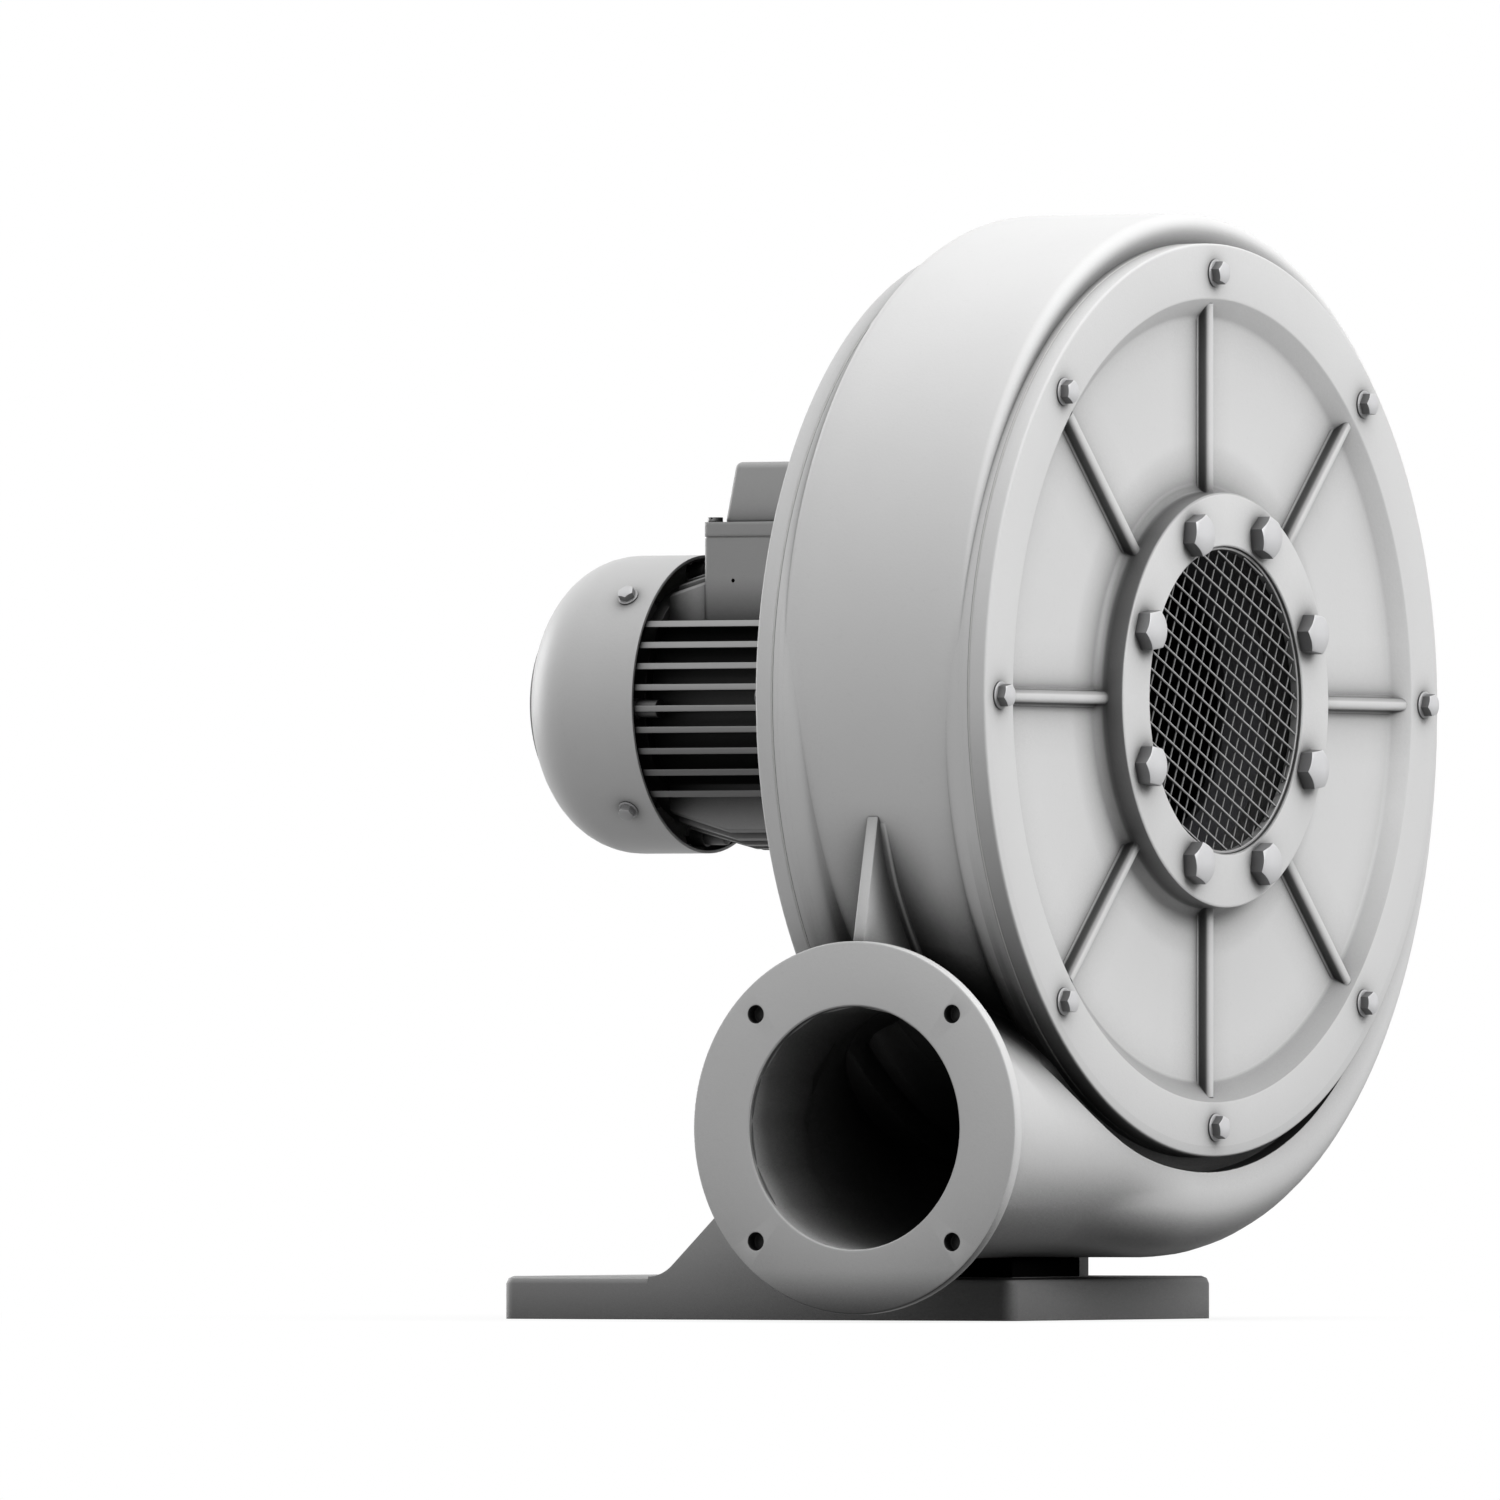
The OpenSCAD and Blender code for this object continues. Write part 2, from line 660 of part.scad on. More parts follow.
module foot() color("gray") {
  half_w = foot_w / 2;
  pad = pad_w / 2;
  difference() {
    union() {
      difference() {
        foot_block();
        difference() {
          translate([-foot_l / 2 + foot_wall, -half_w + foot_wall, -1])
            cube([foot_l - 2 * foot_wall, foot_w - 2 * foot_wall, foot_h - foot_wall + 1]);
          for (i = [-1, 1], j = [-1, 1])
            translate([i * foot_hole_x / 2 - pad, j * foot_hole_y / 2 - pad, -2])
              cube([pad_w, pad_w, foot_h]);
          translate([bracket_x - foot_wall, -half_w, -2]) cube([foot_wall, foot_w, foot_h]);
        }
      }
      translate([0, -half_w + foot_wall, 0]) rotate([90, 0, 0]) foot_web();
      translate([0, half_w, 0]) rotate([90, 0, 0]) foot_web();
      translate([bracket_x - foot_wall, -half_w, foot_h - foot_wall])
        cube([foot_wall, foot_w, web_h - foot_h + foot_wall]);
      translate([saddle_x0, -half_w + foot_wall, foot_h - 1])
        cube([foot_l / 2 - saddle_x0 - foot_edge, half_w - foot_wall + saddle_far_y, 22]);
    }
    translate([duct_x, -half_w - 1, shaft_h - duct_drop]) rotate([-90, 0, 0])
      cylinder(r = duct_r + 0.1, h = foot_w);
    for (i = [-1, 1], j = [-1, 1])
      translate([i * foot_hole_x / 2, j * foot_hole_y / 2, -1]) cylinder(r = foot_hole_r, h = foot_h + 2);
    on_shaft(0) duct_blend(-0.1);
    on_shaft(bracket_x - foot_wall - 1) for (a = bracket_bolts_a)
      rotate([0, 0, a]) translate([cover_bolt_ring, 0, 0]) cylinder(r = m8_r + bolt_gap, h = foot_wall + 2);
    on_shaft(bracket_x - foot_wall - 1) cylinder(r = cover_r - 64, h = foot_wall + 2);
  }
}

module foot_bracket_bolts() color("silver") {
  l = foot_wall + cover_rim_t + gasket_t;
  on_shaft(bracket_x - foot_wall) for (a = bracket_bolts_a)
    rotate([0, 0, a]) translate([cover_bolt_ring, 0, 0]) rotate([180, 0, 0])
      flange_bolt(m8_r, l + (a == -90 ? 4 * m8_r : 7.5));
}

module motor_flange() color("lightgray") {
  difference() {
    union() {
      on_shaft(shield_back_x) cylinder(r = motor_flange_r, h = flange_t);
      on_shaft(flange_face_x - eps) cylinder(r = motor_pilot_r, h = pilot_h);
      on_shaft(housing_x1) cylinder(r = motor_tube_r, h = shield_back_x - housing_x1 + eps);
      on_shaft(housing_x1 - 6) cylinder(r = motor_bore_r - fit_gap, h = 6 + eps);
    }
    on_shaft(housing_x1 - 7) cylinder(r = motor_bore_r - 6, h = 14);
    on_shaft(housing_x1) ring(bearing_r + 9, motor_bore_r - 6, 16);
    on_shaft(front_bearing_x) cylinder(r = bearing_r + fit_gap, h = bearing_w);
    on_shaft(housing_x1 - 7) cylinder(r = bearing_r - 4, h = 100);
    on_shaft(shield_back_x - 1) around(4, motor_bolt_ring, 45)
      cylinder(r = m12_r + bolt_gap, h = flange_t + 2);
  }
}

module motor_flange_bolts() color("silver") {
  on_shaft(shield_back_x) rotate([180, 0, 0]) around(4, motor_bolt_ring, 45)
    hex_bolt(m12_r, flange_t + 14);
}

module side_fins() {
  h = housing_x1 - housing_x0;
  half = (fins_side_n - 1) / 2;
  intersection() {
    for (i = [-half : half]) translate([-cowl_r, fin_shift + i * fin_pitch - fin_t / 2, 0])
      cube([2 * cowl_r, fin_t, h]);
    cylinder(r = fin_tip_r, h = h);
  }
}

// Fins above and below drop towards the cowl
module top_fins() {
  h = housing_x1 - housing_x0;
  half = (fins_top_n - 1) / 2;
  drop_l = 44;
  intersection() {
    for (i = [-half : half]) translate([i * fin_pitch * top_fin_share - fin_t / 2, -cowl_r, 0])
      cube([fin_t, 2 * cowl_r, h]);
    union() {
      translate([0, 0, drop_l]) cylinder(r = fin_tip_r + 1.5, h = h - drop_l);
      cylinder(r1 = fin_tip_r - 9.5, r2 = fin_tip_r + 1.5, h = drop_l + eps);
    }
  }
}

module motor_housing() color("darkgray") {
  h = housing_x1 - housing_x0;
  on_shaft(housing_x0) difference() {
    union() {
      cylinder(r = motor_tube_r, h = h);
      side_fins();
      top_fins();
      shield_screw_places() cylinder(r = shield_boss_r, h = shield_boss_l);
    }
    translate([0, 0, -1]) cylinder(r = motor_bore_r, h = h + 2);
    translate([-box_w / 2 - 0.05, box_low - 0.05, box_x0 - housing_x0 - 0.05])
      intersection() {
        cube([box_w + 0.1, box_top, box_l + 0.1]);
        translate([box_w / 2, -box_low, -1]) ring(box_seat_r, 2 * box_top, box_l + 3);
      }
    shield_screw_places() translate([0, 0, -1]) cylinder(r = m6_r + thread_gap, h = shield_boss_l);
    rotate([0, 0, 90]) translate([motor_bore_r - 2, 0, box_x - housing_x0])
      rotate([0, 90, 0]) cylinder(r = 12, h = 12);
  }
}

module stator_core() color("slategray") {
  slots_n = 24;
  on_shaft(core_x) difference() {
    ring(core_bore_r, motor_bore_r - fit_gap, core_l);
    around(slots_n, core_bore_r - 1) translate([0, -1.6, -1]) cube([14, 3.2, core_l + 2]);
  }
}

module stator_windings() color("peru") {
  for (x = [core_x - winding_l, core_x + core_l])
    on_shaft(x) rotate_extrude() polygon([
      [core_bore_r + 4, 0], [motor_bore_r - 6, 0], [motor_bore_r - 6, winding_l - 5],
      [motor_bore_r - 11, winding_l], [core_bore_r + 9, winding_l], [core_bore_r + 4, winding_l - 5]
    ]);
}

module shield_screw_places() {
  r = fin_tip_r - shield_boss_r - 2;
  for (p = [[-r, fin_shift], [r, fin_shift], [0, -r], [0, r]]) translate([p[0], p[1], 0]) children();
}

module rear_end_shield() color("lightgray") {
  difference() {
    union() {
      on_shaft(housing_x0 - end_shield_t) {
        cylinder(r = shield_r, h = end_shield_t);
        shield_screw_places() cylinder(r = shield_boss_r + 1, h = end_shield_t);
      }
      on_shaft(housing_x0 - eps) cylinder(r = motor_bore_r - fit_gap, h = 6);
      on_shaft(housing_x0 - eps) cylinder(r = bearing_r + 9, h = rear_bearing_x + bearing_w - housing_x0);
      on_shaft(lug_x0) intersection() {
        for (i = [0 : 3]) rotate([0, 0, 45 + 90 * i]) translate([shield_r - 12, -lug_w / 2, 0])
          cube([2 * lug_w, lug_w, lug_l]);
        cylinder(r = lug_r, h = lug_l);
      }
    }
    on_shaft(housing_x0 - 4) ring(bearing_r + 9, motor_bore_r - 8, 20);
    on_shaft(rear_bearing_x) cylinder(r = bearing_r + fit_gap, h = 40);
    on_shaft(housing_x0 - 20) cylinder(r = shaft_r + 1, h = 60);
    on_shaft(housing_x0 - end_shield_t - 1) shield_screw_places()
      cylinder(r = m6_r + bolt_gap, h = end_shield_t + 2);
    on_shaft(cowl_bolt_x) for (i = [0 : 3]) rotate([0, 0, 45 + 90 * i]) translate([cowl_r - 16, 0, 0])
      rotate([0, 90, 0]) cylinder(r = m6_r + thread_gap, h = 24);
  }
}

module end_shield_screws() color("silver") {
  on_shaft(housing_x0 - end_shield_t) rotate([180, 0, 0]) mirror([0, 1, 0]) shield_screw_places()
    hex_bolt(m6_r, end_shield_t + shield_boss_l - 3, 3.3);
}

// Outline of the cowl, from its open rim round to the end disc
function cowl_outline(inset) = concat(
  [[cowl_r - inset, cowl_x1]],
  arc(cowl_r - cowl_round, cowl_x0, cowl_round - inset, 0, -90, 12)
);

// Rings of air slots in the end disc, divided by four bars
module cowl_slots() {
  difference() {
    for (r = [slot_r0 : slot_step : cowl_disc_r - slot_step]) ring(r, r + slot_w, 12);
    for (i = [0 : 1]) rotate([0, 0, 90 * i + 22.5])
      translate([-cowl_disc_r, -slot_bar / 2, -1]) cube([2 * cowl_disc_r, slot_bar, 14]);
  }
}

module fan_cowl() color("gainsboro") {
  on_shaft(0) difference() {
    union() {
      rotate_extrude() polygon(concat([[0, cowl_x1]], cowl_outline(0), [[0, cowl_end_x]]));
      translate([0, 0, cowl_end_x - 0.8]) cylinder(r = cowl_disc_r, h = 6);
    }
    rotate_extrude() polygon(concat(
      [[0, cowl_x1 + 1], [cowl_r - cowl_wall, cowl_x1 + 1]], cowl_outline(cowl_wall),
      [[0, cowl_end_x + cowl_wall]]
    ));
    translate([0, 0, cowl_end_x - 5]) cowl_slots();
    for (i = [0 : 3]) rotate([0, 0, 45 + 90 * i]) translate([lug_r - 10, 0, cowl_bolt_x])
      rotate([0, 90, 0]) cylinder(r = m6_r + bolt_gap, h = 30);
  }
}

module fan_cowl_bolts() color("silver") {
  on_shaft(cowl_bolt_x) for (i = [0 : 3]) rotate([0, 0, 45 + 90 * i]) translate([cowl_r + thread_gap, 0, 0])
    rotate([0, 90, 0]) flange_bolt(m6_r, 14);
}

module box_blank(x0, l, w, z0, h, round) {
  translate([x0, 0, shaft_h + z0]) union() {
    translate([round, -w / 2, 0]) cube([l - 2 * round, w, h]);
    translate([0, -w / 2 + round, 0]) cube([l, w - 2 * round, h]);
    for (x = [round, l - round], y = [-w / 2 + round, w / 2 - round])
      translate([x, y, 0]) cylinder(r = round, h = h);
  }
}

module lid_corners(z) {
  for (i = [-1, 1], j = [-1, 1])
    translate([box_x + i * (box_l / 2 - lid_screw_inset), j * (box_w / 2 - lid_screw_inset), shaft_h + z])
      children();
}

module terminal_box() color("darkgray") {
  inner_l = box_l - 2 * box_wall;
  inner_w = box_w - 2 * box_wall;
  difference() {
    box_blank(box_x0, box_l, box_w, box_low, box_top - box_low, 4);
    on_shaft(box_x0 - 1) cylinder(r = box_seat_r + 0.05, h = box_l + 2);
    difference() {
      box_blank(box_x0 + box_wall, inner_l, inner_w, box_low, box_top, 3);
      on_shaft(box_x0) cylinder(r = motor_tube_r + box_wall, h = box_l);
      lid_corners(box_low) cylinder(r = 6.5, h = box_top - box_low);
    }
    translate([box_x, 0, shaft_h]) cylinder(r = 10, h = motor_tube_r + 2 * box_wall);
    lid_corners(box_top - 14) cylinder(r = 2.5 + thread_gap, h = 20);
    translate([box_x, box_w / 2 - box_wall - 1, shaft_h + gland_z]) rotate([-90, 0, 0])
      cylinder(r = gland_r + thread_gap, h = box_wall + 2);
    translate([box_x0 + 23, -box_w / 2 - 1, shaft_h + box_low + 27]) rotate([-90, 0, 0])
      cylinder(r = 1.3, h = 4, $fn = 24);
    translate([box_x - 32, earth_y, shaft_h + motor_tube_r - 8]) cylinder(r = earth_r + thread_gap, h = 30);
  }
}

module terminal_box_gasket() color("dimgray") {
  difference() {
    box_blank(box_x0 + 0.5, box_l - 1, box_w - 1, box_top, 1, 4);
    box_blank(box_x0 + 16, box_l - 32, box_w - 32, box_top - 1, 3, 4);
    lid_corners(box_top - 1) cylinder(r = 3, h = 3);
  }
}

module terminal_box_lid() color("darkgray") {
  base_z = box_top + 1;
  top_z = shaft_h + base_z + lid_t - 1;
  dome_x0 = box_x0 + 10.5;
  dome_l = box_l - 21;
  dome_w = box_w - 17;
  lean = 4.7;
  difference() {
    union() {
      box_blank(box_x0 - 0.2, box_l + 0.4, box_w + 0.4, base_z, lid_t - 1, 4.2);
      hull() for (x = [4, dome_l - 4], y = [-dome_w / 2 + 4, dome_w / 2 - 4]) {
        lx = x < dome_l / 2 ? lean : -lean;
        ly = y < 0 ? lean : -lean;
        translate([dome_x0 + x, y, top_z - 1]) cylinder(r = 4, h = 1, $fn = 24);
        translate([dome_x0 + x + lx, y + ly, top_z + lid_dome_h - 5]) cylinder(r = 4, h = 2, $fn = 24);
        translate([dome_x0 + x + lx, y + ly, top_z + lid_dome_h - 5]) cylinder(r = 2.5, h = 5, $fn = 24);
      }
    }
    translate([dome_x0 + 11, -dome_w / 2 + 11, shaft_h + base_z - 1])
      cube([dome_l - 22, dome_w - 22, lid_t + lid_dome_h - 5]);
    lid_corners(base_z - 1) cylinder(r = 2.5 + bolt_gap, h = lid_t + 2);
  }
}

module lid_screws() color("silver") {
  lid_corners(box_top + lid_t) difference() {
    union() {
      cylinder(r = 5, h = 3.2);
      translate([0, 0, -lid_t - 12]) cylinder(r = 2.5, h = lid_t + 12 + eps);
    }
    translate([-0.7, -6, 2]) cube([1.4, 12, 2]);
  }
}

module terminal_board() color("saddlebrown") {
  difference() {
    translate([box_x - 22, -30, shaft_h + board_z - 0.5]) cube([44, 60, 8]);
    stud_places() translate([0, 0, -20]) cylinder(r = 2.5 + thread_gap, h = 60);
    on_shaft(box_x - 30) cylinder(r = motor_tube_r + box_wall + 0.1, h = 60);
  }
}

module stud_places() {
  for (i = [-1, 1], j = [-1 : 1]) translate([box_x + i * 11, j * 19, shaft_h + board_z + 7.5]) children();
}

module terminal_studs() color("goldenrod") {
  stud_places() {
    translate([0, 0, -6]) cylinder(r = 2.5, h = 17);
    cylinder(r = 4 / cos(30), h = 4, $fn = 6);
    translate([0, 0, 4.5]) cylinder(r = 4 / cos(30), h = 4, $fn = 6);
  }
}

module earth_screw() color("goldenrod") {
  floor_r = motor_tube_r + box_wall;
  inner_y = earth_y - 2.1 * earth_r;
  translate([box_x - 32, earth_y, shaft_h + sqrt(pow(floor_r, 2) - pow(inner_y, 2)) + 0.05])
    hex_bolt(earth_r, 5, 3.5);
}

module cable_gland() color("dimgray") {
  translate([box_x, box_w / 2, shaft_h + gland_z]) rotate([-90, 0, 0]) difference() {
    union() {
      cylinder(r = 13, h = 6, $fn = 6);
      translate([0, 0, -box_wall - 5]) cylinder(r = gland_r, h = box_wall + 5 + eps);
      translate([0, 0, 6 - eps]) cylinder(r = 9.5, h = 12);
    }
    translate([0, 0, -20]) cylinder(r = 6, h = 50);
  }
}

module gland_nut() color("dimgray") {
  translate([box_x, box_w / 2 + 6.2, shaft_h + gland_z]) rotate([-90, 0, 0]) difference() {
    union() {
      cylinder(r = 12.5, h = 10, $fn = 6);
      translate([0, 0, 10 - eps]) cylinder(r1 = 11, r2 = 8.5, h = 5);
    }
    translate([0, 0, -1]) cylinder(r = 9.5 + thread_gap, h = 13);
    translate([0, 0, -1]) cylinder(r = 6, h = 20);
  }
}

module race_cut() {
  translate([0, 0, bearing_w / 2]) rotate_extrude() translate([ball_ring, 0]) circle(r = ball_r + race_gap);
}

module both_bearings() {
  for (x = [front_bearing_x, rear_bearing_x]) on_shaft(x) children();
}

module bearing_outer_rings() color("silver") {
  both_bearings() difference() {
    ring(ball_ring + 2.6, bearing_r, bearing_w);
    race_cut();
  }
}

module bearing_inner_rings() color("silver") {
  both_bearings() difference() {
    ring(journal_r + fit_gap, ball_ring - 2.6, bearing_w);
    race_cut();
  }
}

module bearing_balls() color("silver") {
  both_bearings() translate([0, 0, bearing_w / 2]) around(balls_n, ball_ring) sphere(r = ball_r);
}

module bearing_cages() color("goldenrod") {
  both_bearings() translate([0, 0, bearing_w / 2 - 5]) difference() {
    ring(ball_ring - 1.4, ball_ring + 1.4, 10);
    around(balls_n, ball_ring - 3) translate([0, 0, 5]) rotate([0, 90, 0])
      cylinder(r = ball_r + run_gap, h = 6);
  }
}

module shaft() color("silver") {
  front_shoulder = front_bearing_x;
  rear_shoulder = rear_bearing_x + bearing_w;
  difference() {
    union() {
      on_shaft(front_shoulder) cylinder(r = journal_r, h = bearing_w + 2);
      on_shaft(rear_bearing_x - 2) cylinder(r = journal_r, h = bearing_w + 2);
      on_shaft(rear_shoulder) cylinder(r = journal_r + 3, h = front_shoulder - rear_shoulder);
      on_shaft(front_shoulder + bearing_w)
        cylinder(r = shaft_r, h = shaft_end_x - front_shoulder - bearing_w);
      on_shaft(shaft_rear_x) cylinder(r = shaft_r - 2, h = rear_bearing_x - shaft_rear_x);
    }
    on_shaft(shaft_end_x - 22) cylinder(r = impeller_bolt_r + thread_gap, h = 30);
    translate([shaft_end_x - key_l - 4, -key_w / 2 - fit_gap, shaft_h + shaft_r - 4])
      cube([key_l + 2 * fit_gap, key_w + 2 * fit_gap, 10]);
    on_shaft(fan_x - 1.6) ring(shaft_r - 3, shaft_r, 1.2);
  }
}

module rotor_core() color("slategray") {
  on_shaft(core_x) ring(journal_r + 3 + fit_gap, core_bore_r - air_gap, core_l);
}

module rotor_end_rings() color("lightgray") {
  for (x = [core_x - 10, core_x + core_l]) on_shaft(x) ring(core_bore_r - 18, core_bore_r - 1.5, 10);
}

module cooling_fan() color("dimgray") {
  difference() {
    union() {
      on_shaft(fan_x) cylinder(r = 21, h = 26);
      on_shaft(fan_x + 18) cylinder(r = fan_r - 14, h = 3);
      on_shaft(fan_x + 2) around(fan_blades_n, 18) translate([0, -1.25, 0]) cube([fan_r - 18, 2.5, 30]);
    }
    on_shaft(fan_x - 1) cylinder(r = shaft_r - 2 + fit_gap, h = 60);
  }
}

module fan_clip() color("silver") {
  on_shaft(fan_x - 1.5) difference() {
    ring(shaft_r - 3 + fit_gap, shaft_r + 3, 1);
    translate([0, -2, -1]) cube([30, 4, 3]);
  }
}

module impeller_hub() color("silver") {
  on_shaft(disc_x - hub_flange_t) difference() {
    union() {
      cylinder(r = impeller_hub_r, h = hub_flange_t);
      cylinder(r = hub_boss_r, h = hub_flange_t + sheet_t + hub_boss_l);
    }
    translate([0, 0, -1]) cylinder(r = shaft_r + fit_gap, h = 100);
    translate([-key_w / 2 - fit_gap, 0, -1]) cube([key_w + 2 * fit_gap, shaft_r + 3.2, 100]);
    around(rivets_n, rivet_ring) translate([0, 0, -1]) cylinder(r = rivet_r + fit_gap, h = 30);
  }
}

module impeller_back_disc() color("lightgray") {
  on_shaft(disc_x) difference() {
    ring(hub_boss_r + fit_gap, impeller_r, sheet_t);
    around(rivets_n, rivet_ring) translate([0, 0, -1]) cylinder(r = rivet_r + fit_gap, h = 30);
  }
}

// Space between back disc and shroud that the blades fill
module blade_passage() {
  rotate_extrude() polygon([
    [blade_root_r, disc_front], [impeller_r - 1, disc_front],
    [impeller_r - 1, shroud_rim_x - eps], [blade_root_r, shroud_height(blade_root_r) - eps]
  ]);
}

function shroud_height(r) =
  shroud_rim_x + (shroud_neck_x - shroud_rim_x) * (impeller_r - r) / (impeller_r - eye_r);

module blade() {
  translate([blade_offset, 0, disc_front])
    ring(blade_curve_r - sheet_t / 2, blade_curve_r + sheet_t / 2, 90);
}

module impeller_blades() color("lightgray") {
  on_shaft(0) intersection() {
    blade_passage();
    union() for (i = [0 : blades_n - 1]) rotate([0, 0, i * 360 / blades_n]) intersection() {
      blade();
      translate([-impeller_r, -impeller_r - 10, disc_front]) cube([2 * impeller_r, impeller_r, 90]);
    }
  }
}

module impeller_shroud() color("lightgray") {
  t = sheet_t;
  on_shaft(0) rotate_extrude() polygon([
    [eye_r, shroud_eye_x], [eye_r, shroud_neck_x], [impeller_r, shroud_rim_x],
    [impeller_r, shroud_rim_x + t], [eye_r + t, shroud_neck_x + t], [eye_r + t, shroud_eye_x]
  ]);
}

module impeller_rivets() color("silver") {
  on_shaft(disc_front) around(rivets_n, rivet_ring) {
    cylinder(r = 2 * rivet_r, h = 2);
    translate([0, 0, -sheet_t - hub_flange_t - 2]) cylinder(r = 2 * rivet_r, h = 2);
    translate([0, 0, -sheet_t - hub_flange_t - 1]) cylinder(r = rivet_r, h = sheet_t + hub_flange_t + 2);
  }
}

module impeller_key() color("silver") {
  translate([shaft_end_x - key_l - 4 + fit_gap, -key_w / 2, shaft_h + shaft_r - 4])
    cube([key_l, key_w, key_h]);
}

module impeller_washer() color("silver") {
  on_shaft(disc_front + hub_boss_l) ring(impeller_bolt_r + bolt_gap, hub_boss_r - 3, 4);
}

module impeller_bolt() color("silver") {
  on_shaft(disc_front + hub_boss_l + 4) hex_bolt(impeller_bolt_r, 24, 3.2);
}

volute_casing();
front_cover();
front_cover_gasket();
front_cover_bolts();
inlet_guard();
inlet_guard_ring();
inlet_bolts();
inlet_nozzle();
nozzle_screws();
rear_cover();
rear_cover_gasket();
rear_cover_bolts();
shaft_seal();
seal_retainer();
seal_screws();
foot();
foot_bracket_bolts();
motor_flange();
motor_flange_bolts();
motor_housing();
stator_core();
stator_windings();
rear_end_shield();
end_shield_screws();
fan_cowl();
fan_cowl_bolts();
terminal_box();
terminal_box_gasket();
terminal_box_lid();
lid_screws();
terminal_board();
terminal_studs();
earth_screw();
cable_gland();
gland_nut();
bearing_outer_rings();
shaft();
rotor_core();
rotor_end_rings();
bearing_inner_rings();
cooling_fan();
fan_clip();
impeller_hub();
impeller_back_disc();
impeller_blades();
impeller_shroud();
impeller_rivets();
impeller_key();
impeller_washer();
impeller_bolt();
bearing_balls();
bearing_cages();
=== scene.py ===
import json
import math

import bpy
from mathutils import Matrix, Vector


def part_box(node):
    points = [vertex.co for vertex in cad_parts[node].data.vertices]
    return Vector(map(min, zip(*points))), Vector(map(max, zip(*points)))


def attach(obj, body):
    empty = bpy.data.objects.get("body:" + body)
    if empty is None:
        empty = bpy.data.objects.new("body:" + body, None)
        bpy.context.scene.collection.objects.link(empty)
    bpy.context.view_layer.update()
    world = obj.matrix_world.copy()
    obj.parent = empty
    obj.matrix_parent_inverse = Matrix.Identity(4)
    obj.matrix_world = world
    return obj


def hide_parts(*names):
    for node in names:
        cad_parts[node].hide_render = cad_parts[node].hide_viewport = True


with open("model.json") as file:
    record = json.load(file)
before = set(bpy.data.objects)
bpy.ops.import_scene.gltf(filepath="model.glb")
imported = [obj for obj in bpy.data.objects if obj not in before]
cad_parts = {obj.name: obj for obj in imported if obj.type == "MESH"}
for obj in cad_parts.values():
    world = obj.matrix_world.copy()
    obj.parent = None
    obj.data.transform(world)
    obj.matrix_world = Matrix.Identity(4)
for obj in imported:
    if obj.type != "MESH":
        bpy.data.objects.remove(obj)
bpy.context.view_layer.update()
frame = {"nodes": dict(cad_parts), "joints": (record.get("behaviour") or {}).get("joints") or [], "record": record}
nodes = frame["nodes"]

MM = 0.001
SHAFT_HEIGHT = frame["joints"][0]["pos_m"][2]

# Camera: one photo pixel is 0.65 mm at the shaft's middle
PIXEL = 0.65e-3
SHAFT_SIDE = 475.116
SHAFT_DROP = 49.833
DISTANCE = 29075.0
FRAME_PIXELS = 1500.0
SENSOR_MM = 36.0
TURN = math.radians(59.36)
TILT = math.radians(0.675)
BOLT_HEAD = 0.008
RIM_STAND_OFF = 0.0078

# Light
WORLD_LEVEL = 0.8
KEY_POWER = 156
TOP_POWER = 46
SIDE_POWER = 31
REAR_POWER = 95
WHITE = (1, 1, 1, 1)


def add_camera():
    cover_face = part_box("front_cover_bolts")[1].x - BOLT_HEAD
    focus = Vector((cover_face + RIM_STAND_OFF, 0, SHAFT_HEIGHT))
    right = Vector((math.sin(TURN), math.cos(TURN), 0))
    level = Vector((-math.cos(TURN), math.sin(TURN), 0))
    forward = level * math.cos(TILT) + Vector((0, 0, math.sin(TILT)))
    up = right.cross(forward)
    data = bpy.data.cameras.new("photo_camera")
    data.sensor_width = SENSOR_MM
    data.lens = DISTANCE / FRAME_PIXELS * SENSOR_MM
    data.clip_end = 200
    camera = bpy.data.objects.new("photo_camera", data)
    bpy.context.scene.collection.objects.link(camera)
    turn = Matrix((right, up, -forward)).transposed()
    camera.matrix_world = turn.to_4x4()
    aside = right * SHAFT_SIDE + up * SHAFT_DROP + forward * DISTANCE
    camera.location = focus - PIXEL * aside
    bpy.context.scene.camera = camera


def area_light(name, place, aim, size, power):
    data = bpy.data.lights.new(name, "AREA")
    data.energy = power
    data.size = size
    lamp = bpy.data.objects.new(name, data)
    lamp.location = place
    lamp.rotation_euler = (Vector(aim) - Vector(place)).to_track_quat("-Z", "Y").to_euler()
    bpy.context.scene.collection.objects.link(lamp)


class Graph:
    """Short calls for adding and joining shader nodes in one node tree."""

    def __init__(self, tree):
        self.tree = tree

    def add(self, kind, values=(), **settings):
        made = self.tree.nodes.new(kind)
        for name, value in settings.items():
            setattr(made, name, value)
        for place, value in dict(values).items():
            if isinstance(value, bpy.types.NodeSocket):
                self.link(value, made.inputs[place])
            else:
                made.inputs[place].default_value = value
        return made

    def link(self, output, socket):
        self.tree.links.new(output, socket)

    def math(self, operation, first, second=0.5, third=0.5, clamp=False):
        values = {0: first, 1: second, 2: third}
        return self.add("ShaderNodeMath", values, operation=operation, use_clamp=clamp).outputs[0]

    def mix(self, factor, low, high):
        values = {"Factor": factor, 6: low, 7: high}
        return self.add("ShaderNodeMix", values, data_type="RGBA").outputs[2]

    def ramp(self, factor, stops):
        node = self.add("ShaderNodeValToRGB", {0: factor})
        ramp = node.color_ramp
        while len(ramp.elements) < len(stops):
            ramp.elements.new(1.0)
        for element, (place, value) in zip(ramp.elements, stops):
            element.position = place
            element.color = (value, value, value, 1)
        return node.outputs[0]


